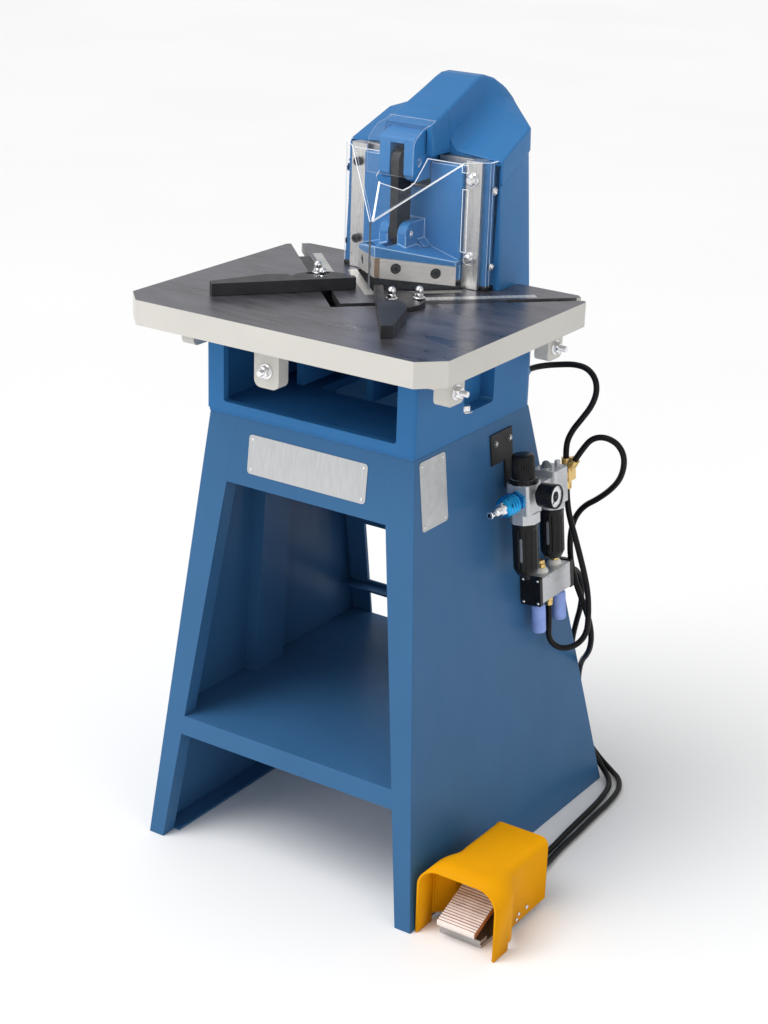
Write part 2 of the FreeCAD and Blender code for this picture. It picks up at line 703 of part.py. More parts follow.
def fence_studs(which):
    px, py, angle, off, tail, tip, side, lean = FENCES[which]
    items = []
    for d in (0, ARC_R):
        x = px + side * d / R2
        y = py + d / R2
        stud = bar(x, y, TABLE_TOP - 0.6, (0, 0, 1), 4, 14)
        washer = bar(x, y, 948.3, (0, 0, 1), 9.5, 1.6).cut(bar(x, y, 940, (0, 0, 1), 3.9, 20))
        nut = hexagon(x, y, 949.9, (0, 0, 1), 13, 6.5)
        dome = bar(x, y, 956.4, (0, 0, 1), 6.3, 5)
        cap = Part.makeSphere(6.3, Vector(x, y, 961.4)).common(box(x - 9, x + 9, y - 9, y + 9, 961.4, 970))
        items.append(join([stud, washer, nut, dome, cap]))
    return items


# ---------------------------------------------------------------- air unit
# The unit and the valve are drawn upright against a plane x = PANEL_X and are then
# tilted to stand parallel with the slanted side panel.
def tilt(shape):
    items = shape if isinstance(shape, list) else [shape]
    for item in items:
        item.rotate(Vector(AIR_X, 0, AIR_Z), Vector(0, 1, 0), -math.degrees(LEAN))
    return shape


def air_bracket():
    x = PANEL_X
    pad = box(x, x + 3, 88, 153, 686, 736)
    arm = box(x, x + 3, 128, 150, 642, 690)
    reach = box(x, AIR_X - 8, 128, 139.5, 640, 644)
    tab = box(AIR_X - 20, AIR_X - 8, 128, 139.5, 640, 656)
    screws = [bar(x + 2.5, y, 719, (1, 0, 0), 4, 2.8) for y in (102, 145)]
    return tilt(join([pad, arm, reach, tab] + screws))


def regulator_body():
    x = AIR_X
    core = box(x - 21, x + 21, 96, 139.5, 608, 658)
    core = soften(core, 6, upright)
    skirt = []
    for i in range(8):
        a = math.radians(45 * i + 22.5)
        skirt.append((x + 24.5 * math.cos(a), 118 + 24.5 * math.sin(a)))
    low = plan(skirt, 592, 609)
    collar = bar(x, 118, 657, (0, 0, 1), 22.5, 8)
    port = bar(x + 20, 118, GAUGE_Z, (1, 0, 0), 7, 3)
    body = join([core, low, collar, port])
    return tilt(body.cut(box(x - 30, x - 7.9, 127.9, 150, 630, 656.1)))


def regulator_knob():
    grip = bar(AIR_X, 118, 665.3, (0, 0, 1), 19.5, 39)
    grip = soften(grip, 3, lambda e: e.CenterOfMass.z > 700)
    grooves = []
    for i in range(12):
        a = math.radians(30 * i)
        grooves.append(bar(AIR_X + 20.3 * math.cos(a), 118 + 20.3 * math.sin(a), 672, (0, 0, 1), 1.6, 26))
    return tilt(less(grip, grooves))


def bowl(y, z0, r):
    return join([bar(AIR_X, y, z0 + 10, (0, 0, 1), r, 592 - z0 - 10), cone(AIR_X, y, z0, (0, 0, 1), r - 6, r, 10)])


def filter_bowl():
    drain = bar(AIR_X, 118, 494, (0, 0, 1), 5, 10)
    return tilt(join([bowl(118, 503, 21), drain]))


def gauge_case():
    x = AIR_X + 23
    neck = bar(x, 118, GAUGE_Z, (1, 0, 0), 6, 8)
    case = bar(x + 7, 118, GAUGE_Z, (1, 0, 0), 20, 30)
    dish = bar(x + 34, 118, GAUGE_Z, (1, 0, 0), 17.5, 5)
    post = bar(x + 32, 118, GAUGE_Z, (1, 0, 0), 1.5, 3.4)
    return tilt(join([neck, case.cut(dish), post]))


def gauge_needle():
    x = AIR_X + 57.5
    z = GAUGE_Z
    blade = slab([(x, 117, z - 4), (x, 119, z - 4), (x, 118.5, z + 14), (x, 117.5, z + 14)], (0.8, 0, 0))
    hub = bar(x, 118, z, (1, 0, 0), 2.6, 1.2)
    needle = join([blade, hub]).cut(bar(AIR_X + 50, 118, z, (1, 0, 0), 1.55, 12))
    needle.rotate(Vector(x, 118, z), Vector(1, 0, 0), NEEDLE_REST)
    return tilt(needle)


def lubricator_body():
    x = AIR_X
    link_piece = box(x - 13, x + 13, 139.5, 183, 618, 648)
    core = box(x - 21, x + 21, 181, 225, 600, 658)
    core = soften(core, 6, upright)
    low = bar(x, 203, 592, (0, 0, 1), 22, 9)
    dome = join([bar(x - 4, 196, 657, (0, 0, 1), 9, 6), bar(x + 8, 212, 657, (0, 0, 1), 4.5, 5)])
    return tilt(join([link_piece, core, low, dome]))


def lubricator_bowl():
    return tilt(bowl(203, 506, 20))


def inlet_coupling():
    core = bar(AIR_X, 52, INLET_Z, (0, 1, 0), 11, 44)
    nose = bar(AIR_X, 52, INLET_Z, (0, 1, 0), 15.5, 7)
    flange = bar(AIR_X, 90, INLET_Z, (0, 1, 0), 16.5, 6)
    return tilt(join([core, nose, flange]))


def inlet_sleeve():
    """Ribbed ring that slides on the coupling."""
    rings = [bar(AIR_X, 60, INLET_Z, (0, 1, 0), 15, 24)]
    for y in (61, 69, 77):
        rings.append(bar(AIR_X, y, INLET_Z, (0, 1, 0), 17, 5))
    return tilt(join(rings).cut(bar(AIR_X, 50, INLET_Z, (0, 1, 0), 11.05, 60)))


def inlet_nipple():
    tail = join([bar(AIR_X, 30, INLET_Z, (0, 1, 0), 7, 16), hexagon(AIR_X, 44, INLET_Z, (0, 1, 0), 19, 8),
                 bar(AIR_X, 12, INLET_Z, (0, 1, 0), 6, 12), bar(AIR_X, 23, INLET_Z, (0, 1, 0), 4.8, 8)])
    return tilt(tail.cut(bar(AIR_X, 10, INLET_Z, (0, 1, 0), 3.4, 30)))


def outlet_cross():
    """Brass body with arms up, aslant and down, each with a hose nut."""
    x = AIR_X
    core = box(x - 11, x + 11, 243, 267, 622, 646)
    arms = [core, hexagon(x, 225, OUTLET_Z, (0, 1, 0), 19, 18)]
    arms.append(join([bar(x, 255, 646, (0, 0, 1), 8, 14), hexagon(x, 255, 650, (0, 0, 1), 15, 6)]))
    arms.append(join([bar(x, 255, 608, (0, 0, 1), 8, 14), hexagon(x, 255, 611, (0, 0, 1), 15, 6)]))
    side = join([bar(x, 255, OUTLET_Z, (1, 0, 0), 8, 30), hexagon(x + 18, 255, OUTLET_Z, (1, 0, 0), 15, 6)])
    side.rotate(Vector(x, 255, OUTLET_Z), Vector(0, 1, 0), -SIDE_ARM)
    return tilt(join(arms + [side]))


def valve_body():
    x0 = PANEL_X + 3
    body = box(x0, x0 + VALVE_W, 173, 268, 431, 476)
    body = soften(body, 2, along_y)
    foot = box(PANEL_X, x0 + 1, 185, 258, 440, 466)
    return tilt(join([body, foot]))


def valve_end_caps():
    x0 = PANEL_X + 2
    caps = [box(x0, x0 + VALVE_W + 2, y, y + 8, 429, 478) for y in (165, 268)]
    return tilt([soften(cap, 2, along_y) for cap in caps])


def valve_fittings():
    x = PANEL_X + 3 + VALVE_W / 2
    items = []
    for y in (201, 245):
        items.append(join([cone(x, y, 476, (0, 0, 1), 12, 8, 8), hexagon(x, y, 484, (0, 0, 1), 14, 7),
                           bar(x, y, 491, (0, 0, 1), 6.5, 6)]))
    items.append(join([hexagon(x, 223, 417, (0, 0, 1), 14, 14), bar(x, 223, 411, (0, 0, 1), 7, 7)]))
    items.append(join([hexagon(x - 10, 276, 440.5, (0, 1, 0), 13, 8), bar(x - 10, 284, 440.5, (0, 1, 0), 6.5, 5)]))
    return tilt(items)


def mufflers():
    x = PANEL_X + 3 + VALVE_W / 2
    items = []
    for y in (189, 257):
        body = join([bar(x, y, 374, (0, 0, 1), 11.5, 50), bar(x, y, 423, (0, 0, 1), 7, 8)])
        items.append(soften(body, 3, lambda e: e.CenterOfMass.z < 375))
    return tilt(items)


# ---------------------------------------------------------------- pedal
def pedal_guard():
    """Arched guard, open at the front, with a case over the works behind."""
    x = PEDAL_X
    arch = [(x - 72, 0), (x - 72, 88), (x - 38, 121), (x + 38, 121), (x + 72, 88), (x + 72, 0)]
    hole = [(x - 68, -1), (x - 68, 86.4), (x - 36.4, 117), (x + 36.4, 117), (x + 68, 86.4), (x + 68, -1)]
    outer = soften(front(arch, -192, -122), 20, lambda e: along_y(e) and e.CenterOfMass.z > 60)
    inner = soften(front(hole, -193, -121), 17, lambda e: along_y(e) and e.CenterOfMass.z > 60)
    hood = outer.cut(inner)
    neck = loft([case_ring(-122, 72, 72, 84, 121), case_ring(-96, 47, 52, 98, 121)])
    neck = neck.cut(loft([case_ring(-123, 68, 68, 81, 117), case_ring(-95, 43, 48, 94, 117)]))
    case = box(x - 47, x + 52, -96, 0, 14, 121)
    case = soften(case, 14, lambda e: along_y(e) and e.CenterOfMass.z > 60)
    cave = box(x - 43, x + 48, -97, -4, 10, 117)
    cave = soften(cave, 10, lambda e: along_y(e) and e.CenterOfMass.z > 60)
    step = profile([(-143, -2), (-143, 20), (-96, 42), (-96, -2)], 200, 480)
    return less(join([hood, neck, case.cut(cave)]), [step])


def case_ring(y, left, right, shoulder, top):
    x = PEDAL_X
    return [(x - left, y, 14), (x + right, y, 14), (x + right, y, shoulder), (x + right * 0.72, y, top),
            (x - left * 0.72, y, top), (x - left, y, shoulder)]


def pedal_base():
    """Floor tray with side walls for the axle and the small valve at the back."""
    x = PEDAL_X
    tray = box(x - 40, x + 36, -170, -4.2, 0, 5)
    walls = [box(x - 42.7, x - 39, -95, -4.2, 0, 40), box(x + 36, x + 47.7, -95, -4.2, 0, 40)]
    nose = box(x - 38, x + 34, -170, -150, 5, 12)
    ears = [box(x - 42.7, x - 39, -72, -48, 39, 64), box(x + 36, x + 40, -72, -48, 39, 64)]
    works = box(x - 30, x + 26, -40, -6, 4, 44)
    plunger = bar(x - 2, -88, 4, (0, 0, 1), 6, 48)
    body = join([tray, nose, works, plunger] + walls + ears)
    return body.cut(bar(x - 60, -60, 54, (1, 0, 0), 4, 120))


def pedal_tread():
    x = PEDAL_X
    plate = profile([(-186, 22), (-186, 31), (-100, 66), (-44, 66), (-44, 58), (-98, 57)], x - 36, x + 32)
    ribs = []
    for i in range(12):
        y = -182 + 6.6 * i
        z = 31 + (y + 186) * 35 / 86.0
        ribs.append(bar(x - 35, y, z - 0.3, (1, 0, 0), 1.3, 66))
    hub = bar(x - 36, -60, 54, (1, 0, 0), 9, 68)
    bore = bar(x - 50, -60, 54, (1, 0, 0), 4.05, 100)
    return join([plate, hub] + ribs).cut(bore)


def pedal_axle():
    """Axle, side screws and the two glands where the hoses come in."""
    x = PEDAL_X
    items = [bar(x - 42.7, -60, 54, (1, 0, 0), 4, 82)]
    for px in (-8, 10):
        items.append(bar(x + px, 0, 28, (0, 1, 0), 7, 8))
    items.append(bar(x + 52, -80, 52, (1, 0, 0), 4, 3))
    items.append(bar(x + 52, -30, 52, (1, 0, 0), 4, 3))
    return items


# ---------------------------------------------------------------- hoses
# Control points of each hose, from the fitting where it starts to the one where it ends.
BOX_HOSE = [(243.3, 255, 659.9), (241.2, 255, 681), (247, 261, 704), (260, 269, 726), (273, 276, 749),
            (278, 281, 773), (271, 285, 794), (253, 287, 807), (229, 287, 808), (206, 283, 804),
            (186, 274, 801), (172, 254, 799), (172, 232, 799)]
VALVE_HOSE = [(248.3, 255, 608.1), (250.8, 255, 582), (258, 256, 554), (268, 259, 524), (277, 263, 492),
              (285, 268, 460), (291, 274, 425), (293, 278, 388), (292.3, 278, 347.5), (279.6, 261.9, 327),
              (261.6, 239.1, 327), (248.9, 223, 347.5), (248.8, 223, 380), (245.9, 223, 409.3)]
SUPPLY_HOSE = [(260.6, 255, 660.1), (271.4, 255, 679.2), (286, 257, 701), (307, 260, 708), (329, 264, 701),
               (341, 268, 682), (340, 273, 657), (330, 278, 631), (311, 281, 608), (289, 285, 588),
               (266, 287, 571), (250, 289, 548), (242, 291, 519), (242, 292, 487), (247, 293, 456),
               (258, 293, 426), (273, 293, 397), (286, 296, 366), (289, 303, 334), (281, 316, 304),
               (264, 338, 278), (244, 362, 254), (230, 381, 224), (224, 393, 188), (223, 403, 150),
               (226, 413, 111), (231, 424, 75), (239, 436, 46), (255, 439, 22), (276, 430, 9),
               (295, 406, 7), (304, 374, 7), (310, 330, 7), (313, 276, 7), (316, 214, 7), (321, 152, 7),
               (324, 98, 8), (327, 67, 15), (332, 36, 28), (332, 8, 28)]
PILOT_HOSE = [(231.9, 289, 441), (232, 313, 441), (233, 337, 432), (235, 353, 411), (235, 361, 382),
              (231, 368, 350), (221, 375, 316), (211, 384, 280), (206, 394, 240), (203, 404, 200),
              (204, 414, 158), (208, 425, 114), (217, 438, 72), (229, 452, 42), (249, 458, 18),
              (275, 450, 7), (301, 431, 7), (319, 396, 7), (326, 344, 7), (328, 284, 7), (332, 216, 7),
              (334, 150, 7), (341, 98, 8), (344, 67, 15), (350, 36, 28), (350, 8, 28)]


def bend(before, corner, after):
    """Tangent points, middle point and radius of the arc that rounds a corner."""
    back = before - corner
    ahead = after - corner
    reach = 0.45 * min(back.Length, ahead.Length)
    back.normalize()
    ahead.normalize()
    turn = math.pi - back.getAngle(ahead)
    radius = reach / math.tan(turn / 2)
    inward = back + ahead
    inward.normalize()
    centre = corner + inward * (radius / math.cos(turn / 2))
    return corner + back * reach, centre - inward * radius, corner + ahead * reach, radius


def hose(name, route):
    pts = [Vector(*p) for p in route]
    edges = []
    last = pts[0]
    radii = []
    for i in range(1, len(pts) - 1):
        start, middle, end, radius = bend(pts[i - 1], pts[i], pts[i + 1])
        edges.append(Part.LineSegment(last, start).toShape())
        edges.append(Part.Arc(start, middle, end).toShape())
        radii.append(radius)
        last = end
    edges.append(Part.LineSegment(last, pts[-1]).toShape())
    path = Part.Wire(edges)
    length = path.Length
    ring = Part.Wire([Part.makeCircle(HOSE_D / 2, pts[0], pts[1] - pts[0])])
    tube = path.makePipeShell([ring], True, False)
    expected = math.pi * HOSE_D * HOSE_D / 4 * length
    print(name, "length", round(length), "least radius", round(min(radii)),
          "volume ratio", round(tube.Volume / expected, 4))
    return tube


def save(name, shape):
    if isinstance(shape, list):
        shape = Part.makeCompound(shape)
    shape.translate(SHIFT)
    shape.exportStep("parts/" + name + ".step")
    return shape.BoundBox


def main():
    os.makedirs("parts", exist_ok=True)
    right = stand_side()
    left = flip(right)
    nodes = {
        "stand_front_panel": stand_front_panel(),
        "stand_back_panel": stand_back_panel(),
        "stand_shelf": stand_shelf([left, right]),
        "stand_left_panel": left,
        "stand_right_panel": right,
        "stand_stiffeners": both(stand_stiffener()),
        "lower_casting": lower_casting(),
        "frame_casting": frame_casting(),
        "table": table(),
        "levelling_screws": levelling_screws(),
        "scale_strips": scale_strips(),
        "lower_die_right": lower_die(),
        "lower_die_left": flip(lower_die()),
        "gib_right": less(gib(), gib_bolts()),
        "gib_left": less(flip(gib()), gib_bolts()),
        "gib_bolts": gib_bolts(),
        "slideway_plate": slideway_plate(),
        "guard_right": less(guard(), guard_fixings()),
        "guard_left": less(flip(guard()), guard_fixings()),
        "guard_fixings": guard_fixings(),
        "rocker_pivot_pin": rocker_pivot_pin(),
        "air_cylinder": air_cylinder(),
        "piston_rod": piston_rod(),
        "rocker": rocker(),
        "rocker_pins": rocker_pins(),
        "link": link(),
        "ram": ram(),
        "clevis_pin": clevis_pin(),
        "upper_blade_left": less(upper_blade(0, -1), blade_screws_list() + blade_recesses()),
        "upper_blade_right": less(upper_blade(BLADE_T, 1), blade_screws_list() + blade_recesses()),
        "blade_screws": blade_screws_list(),
        "fence_left": fence("left"),
        "fence_right": fence("right"),
        "fence_slide_left": fence_slide("left"),
        "fence_slide_right": fence_slide("right"),
        "fence_studs_left": fence_studs("left"),
        "fence_studs_right": fence_studs("right"),
        "air_bracket": air_bracket(),
        "regulator_body": regulator_body(),
        "regulator_knob": regulator_knob(),
        "bowls": [filter_bowl(), lubricator_bowl()],
        "gauge_case": gauge_case(),
        "gauge_needle": gauge_needle(),
        "lubricator_body": lubricator_body(),
        "inlet_coupling": inlet_coupling(),
        "inlet_sleeve": inlet_sleeve(),
        "inlet_nipple": inlet_nipple(),
        "outlet_cross": outlet_cross(),
        "valve_body": valve_body(),
        "valve_end_caps": valve_end_caps(),
        "valve_fittings": valve_fittings(),
        "mufflers": mufflers(),
        "box_hose": hose("box_hose", BOX_HOSE),
        "valve_hose": hose("valve_hose", VALVE_HOSE),
        "supply_hose": hose("supply_hose", SUPPLY_HOSE),
        "pilot_hose": hose("pilot_hose", PILOT_HOSE),
        "pedal_guard": pedal_guard(),
        "pedal_base": pedal_base(),
        "pedal_tread": pedal_tread(),
        "pedal_axle": pedal_axle(),
    }
    whole = FreeCAD.BoundBox()
    for name, shape in nodes.items():
        whole.add(save(name, shape))
    print("box", whole)


main()
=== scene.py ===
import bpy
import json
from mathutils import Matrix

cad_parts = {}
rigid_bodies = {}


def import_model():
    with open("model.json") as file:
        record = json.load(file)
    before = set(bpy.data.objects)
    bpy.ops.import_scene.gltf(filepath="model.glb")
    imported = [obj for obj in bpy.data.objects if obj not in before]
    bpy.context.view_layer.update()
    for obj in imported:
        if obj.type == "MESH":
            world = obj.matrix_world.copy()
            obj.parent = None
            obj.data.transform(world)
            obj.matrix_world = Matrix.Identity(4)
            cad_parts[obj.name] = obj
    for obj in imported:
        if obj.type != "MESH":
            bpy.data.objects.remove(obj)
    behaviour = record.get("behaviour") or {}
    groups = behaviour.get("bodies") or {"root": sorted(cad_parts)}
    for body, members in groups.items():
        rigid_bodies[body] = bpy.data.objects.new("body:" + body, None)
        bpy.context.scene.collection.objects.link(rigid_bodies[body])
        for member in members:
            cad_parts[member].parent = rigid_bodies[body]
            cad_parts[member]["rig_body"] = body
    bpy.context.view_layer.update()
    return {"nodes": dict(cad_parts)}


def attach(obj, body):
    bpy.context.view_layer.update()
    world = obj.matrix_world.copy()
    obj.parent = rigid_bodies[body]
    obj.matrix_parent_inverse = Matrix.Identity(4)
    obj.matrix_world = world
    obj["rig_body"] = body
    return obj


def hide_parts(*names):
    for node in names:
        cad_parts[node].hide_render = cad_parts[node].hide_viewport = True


bl_info = {
    "name": "Corner Notcher",
    "version": (1, 0, 0),
    "blender": (4, 5, 0),
    "location": "View3D > Sidebar > Notcher",
    "description": "Dresses the corner notcher with its castings, guards, air unit, pedal and hoses",
    "category": "Add Mesh",
}

import json
import math

import bmesh
import bpy
import numpy as np
from mathutils import Matrix, Vector

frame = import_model()

# The machine is drawn in millimetres with its middle plane at x = 0, the operator at
# -y and the floor at z = 0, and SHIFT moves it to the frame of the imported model.
SHIFT = np.array([-62.0, -98.0, 0.0])
MM = 0.001
R2 = math.sqrt(2.0)
UP = (0, 0, 1)
TABLE_TOP = 940.0
VERTEX_Y = 40.0

# The stand's panels are planes that lean in.  At height z the front one lies at
# y = -FRONT_FOOT + FRONT_SLOPE x z, and the right one at x = SIDE_FOOT - SIDE_SLOPE x z.
FRONT_FOOT = 202.0
FRONT_SLOPE = 0.1029
SIDE_FOOT = 265.0
SIDE_SLOPE = 0.0968

# The air unit is drawn upright and then turned about a line along y, so that it leans with
# the right panel, which stands at PANEL_X before that turn.
AIR_X = 246.0
AIR_Z = 632.0
LEAN = math.atan(SIDE_SLOPE)
PANEL_X = AIR_X - (AIR_X - SIDE_FOOT + SIDE_SLOPE * AIR_Z) * math.cos(LEAN)
PEDAL_X = 340.0

# Length in metres and route in machine millimetres of each air hose.
HOSES = {
    "box_hose": (0.282, [
        (243.3, 255, 659.9), (241.2, 255, 681), (247, 261, 704), (260, 269, 726), (273, 276, 749),
        (278, 281, 773), (271, 285, 794), (253, 287, 807), (229, 287, 808), (206, 283, 804),
        (186, 274, 801), (172, 254, 799), (172, 232, 799)]),
    "valve_hose": (0.411, [
        (248.3, 255, 608.1), (250.8, 255, 582), (258, 256, 554), (268, 259, 524), (277, 263, 492),
        (285, 268, 460), (291, 274, 425), (293, 278, 388), (292.3, 278, 347.5), (279.6, 261.9, 327),
        (261.6, 239.1, 327), (248.9, 223, 347.5), (248.8, 223, 380), (245.9, 223, 409.3)]),
    "supply_hose": (1.331, [
        (260.6, 255, 660.1), (271.4, 255, 679.2), (286, 257, 701), (307, 260, 708), (329, 264, 701),
        (341, 268, 682), (340, 273, 657), (330, 278, 631), (311, 281, 608), (289, 285, 588),
        (266, 287, 571), (250, 289, 548), (242, 291, 519), (242, 292, 487), (247, 293, 456),
        (258, 293, 426), (273, 293, 397), (286, 296, 366), (289, 303, 334), (281, 316, 304),
        (264, 338, 278), (244, 362, 254), (230, 381, 224), (224, 393, 188), (223, 403, 150),
        (226, 413, 111), (231, 424, 75), (239, 436, 46), (255, 439, 22), (276, 430, 9),
        (295, 406, 7), (304, 374, 7), (310, 330, 7), (313, 276, 7), (316, 214, 7), (321, 152, 7),
        (324, 98, 8), (327, 67, 15), (332, 36, 28), (332, 8, 28)]),
    "pilot_hose": (0.986, [
        (231.9, 289, 441), (232, 313, 441), (233, 337, 432), (235, 353, 411), (235, 361, 382),
        (231, 368, 350), (221, 375, 316), (211, 384, 280), (206, 394, 240), (203, 404, 200),
        (204, 414, 158), (208, 425, 114), (217, 438, 72), (229, 452, 42), (249, 458, 18),
        (275, 450, 7), (301, 431, 7), (319, 396, 7), (326, 344, 7), (328, 284, 7), (332, 216, 7),
        (334, 150, 7), (341, 98, 8), (344, 67, 15), (350, 36, 28), (350, 8, 28)]),
}


# ---------------------------------------------------------------- places
def metres(points):
    """Machine millimetres to frame metres: add the shift, then scale by a thousandth."""
    return (np.asarray(points, float) + SHIFT) * MM


def leaned(points):
    """Turns points about the y line through the air unit, so that they lean with the side panel."""
    p = np.array(points, float)
    dx = p[..., 0] - AIR_X
    dz = p[..., 2] - AIR_Z
    p[..., 0] = AIR_X + dx * math.cos(LEAN) - dz * math.sin(LEAN)
    p[..., 2] = AIR_Z + dz * math.cos(LEAN) + dx * math.sin(LEAN)
    return p


# ---------------------------------------------------------------- surfaces
def grid(points, round_columns=False):
    """A shell over a table of points: each cell is a four-cornered face.  A rounded table
    joins its last column to its first."""
    rows, columns = points.shape[:2]
    index = np.arange(rows * columns).reshape(rows, columns)
    if round_columns:
        index = np.hstack([index, index[:, :1]])
    faces = np.stack([index[:-1, :-1], index[:-1, 1:], index[1:, 1:], index[1:, :-1]], -1)
    return points.reshape(-1, 3), faces.reshape(-1, 4)


def across(way):
    """Two unit directions square to a direction and to each other."""
    way = np.asarray(way, float) / np.linalg.norm(way)
    side = np.cross(way, (0, 0, 1) if abs(way[2]) < 0.9 else (1, 0, 0))
    side /= np.linalg.norm(side)
    return way, side, np.cross(way, side)


def turned(profile, start, way, steps=40, shape=None):
    """Profile of (radius, height) pairs carried round an axis: point = start + height x way
    + radius x (cos a x side + sin a x up).  shape(a, radius, height) may change the radius."""
    way, side, up = across(way)
    r, h = np.asarray(profile, float).T
    a = np.linspace(0, 2 * math.pi, steps, endpoint=False)
    r = np.repeat(r[:, None], steps, 1)
    if shape is not None:
        r = shape(a[None, :], r, h[:, None])
    ring = np.cos(a)[:, None] * side + np.sin(a)[:, None] * up
    points = np.asarray(start, float) + h[:, None, None] * way + r[..., None] * ring[None]
    return grid(points, round_columns=True)


def rounded(radius, height, edge):
    """Profile of a disc or bar whose rims are quarter circles."""
    q = np.linspace(0, math.pi / 2, 5)
    rows = [(0.0, 0.0)]
    rows += [(radius - edge + edge * math.sin(a), edge - edge * math.cos(a)) for a in q]
    rows += [(radius - edge + edge * math.cos(a), height - edge + edge * math.sin(a)) for a in q]
    rows.append((0.0, height))
    return rows


def hexed(flats):
    """Cuts a round profile to six flats: radius = least of itself and half the flats over
    the cosine of the angle from the nearest flat."""
    def shape(a, r, h):
        off = np.mod(a + math.pi / 6, math.pi / 3) - math.pi / 6
        return np.minimum(r, flats / 2 / np.cos(off))
    return shape


def nut(start, way, flats, height, hole=0.0):
    """Six-sided head whose corners are turned down by a cone at the top."""
    corner = flats / math.sqrt(3.0)
    drop = 0.16 * flats * 0.5
    profile = [(hole, 0), (corner, 0), (corner, height - drop), (flats * 0.5, height - 0.02 * flats),
               (flats * 0.47, height), (hole, height)]
    return turned(profile, start, way, 48, hexed(flats))


def block(low, high, radius, k=3):
    """Box with round edges: each point is a corner of the inner box plus the radius times a
    direction on a sphere."""
    low, high = np.asarray(low, float), np.asarray(high, float)
    middle, half = (low + high) / 2, (high - low) / 2 - radius
    q = np.linspace(0, math.pi / 2, k + 1)
    lon = np.concatenate([q + i * math.pi / 2 for i in range(4)])
    sx = np.repeat([1, -1, -1, 1], k + 1)
    sy = np.repeat([1, 1, -1, -1], k + 1)
    lat = np.concatenate([-q[::-1], q])[:, None]
    sz = np.repeat([-1, 1], k + 1)[:, None]
    x = middle[0] + sx * half[0] + radius * np.cos(lat) * np.cos(lon)
    y = middle[1] + sy * half[1] + radius * np.cos(lat) * np.sin(lon)
    z = middle[2] + sz * half[2] + radius * np.sin(lat) + 0 * lon
    points, faces = grid(np.stack([x, y, z], -1), round_columns=True)
    n = 4 * (k + 1)
    last = (2 * k + 1) * n
    caps = [[i * (k + 1) for i in (0, 1, 2, 3)], [last + i * (k + 1) for i in (3, 2, 1, 0)]]
    return points, np.vstack([faces, caps])


def drawn(outline, push):
    """Flat outline pushed into a plate: two rings of points with a face at each end."""
    ring = np.asarray(outline, float)
    points = np.stack([ring, ring + np.asarray(push, float)])
    n = len(ring)
    shell, faces = grid(points, round_columns=True)
    return shell, [list(f) for f in faces] + [list(range(n))[::-1], list(range(n, 2 * n))]


def sheet(outline, push):
    """Flat plate of clear sheet in two shells: its faces, and its rim with the second finish, which in
    the guards is a painted glow along the edge.
    """
    points, faces = drawn(outline, push)
    return [(points, faces[-2:], 0), (points, faces[:-2], 1)]


def strip(first, second, finish):
    """Ruled surface between two rows of points, with one finish or one for each face."""
    points, faces = grid(np.stack([np.asarray(first, float), np.asarray(second, float)]))
    return points, faces, finish


def ribbed(count, depth, low, high):
    """Flutes round a bar: radius less depth times the upper half of cos(count x angle),
    between two heights."""
    def shape(a, r, h):
        fade = np.clip(np.minimum(h - low, high - h) / 1.5, 0, 1) * (r > depth * 6)
        return r - depth * np.clip(np.cos(count * a), 0, 1) * fade
    return shape


def socketed(key, hole):
    """Turns the points that lie on a hole's radius into a six-sided socket."""
    hexagon = hexed(key)
    def shape(a, r, h):
        return np.where(abs(r - hole) < 1e-6, hexagon(a, r * 1.2, h), r)
    return shape


def socket_head(start, way, radius, height, key):
    """Cylinder head with a six-sided socket, six tenths as deep as the key is wide."""
    hole = key / math.sqrt(3.0)
    profile = [(0, 0), (radius, 0), (radius, height - 0.8), (radius - 0.8, height), (hole, height),
               (hole, height - key * 0.6), (0, height - key * 0.6)]
    return turned(profile, start, way, 36, socketed(key, hole))


def dome_head(start, way, radius, height, key=0.0):
    """Button head: its height falls off as a quarter of an ellipse."""
    a = np.linspace(0, math.pi / 2, 6)
    crown = np.column_stack([radius * np.cos(a), 0.25 * height + 0.75 * height * np.sin(a)])
    profile = [(0, 0), *crown.tolist()]
    if not key:
        return turned(profile, start, way, 28)
    hole = key / math.sqrt(3.0)
    keep = [p for p in profile if p[0] > hole * 1.3 or p[1] == 0]
    profile = keep + [(hole, height), (hole, height * 0.45), (0, height * 0.45)]
    return turned(profile, start, way, 36, socketed(key, hole))


def washer(start, way, radius, height):
    """Disc with round rims."""
    return turned(rounded(radius, height, height * 0.4), start, way, 36)


def threaded(start, way, radius, length, pitch=1.5):
    """Screw thread as rings: the radius rises and falls once in each pitch."""
    h = np.arange(0, length + 1e-6, pitch / 2)
    r = radius - np.where(np.arange(len(h)) % 2, 0.0, 0.45)
    profile = [(0, 0), *zip(r.tolist(), h.tolist()), (0, float(h[-1]))]
    return turned(profile, start, way, 20)


def with_finish(shells, index):
    """The same shells with another finish of their piece."""
    return [(shell[0], shell[1], index) for shell in shells]


def rounded_corner(path, radii, k=6):
    """Flat path whose corners are arcs: each corner gives k + 1 points of a circle that
    touches both runs."""
    path = np.asarray(path, float)
    out = [path[:1]]
    for i in range(1, len(path) - 1):
        back = path[i - 1] - path[i]
        ahead = path[i + 1] - path[i]
        back /= np.linalg.norm(back)
        ahead /= np.linalg.norm(ahead)
        half = math.acos(np.clip(back @ ahead, -1, 1)) / 2
        reach = radii[i - 1] / math.tan(half)
        t = np.linspace(0, 1, k + 1)[:, None]
        inward = (back + ahead) / np.linalg.norm(back + ahead)
        centre = path[i] + inward * radii[i - 1] / math.sin(half)
        chord = (path[i] + back * reach) * (1 - t) + (path[i] + ahead * reach) * t - centre
        out.append(centre + chord / np.linalg.norm(chord, axis=1)[:, None] * radii[i - 1])
    out.append(path[-1:])
    return np.vstack(out)


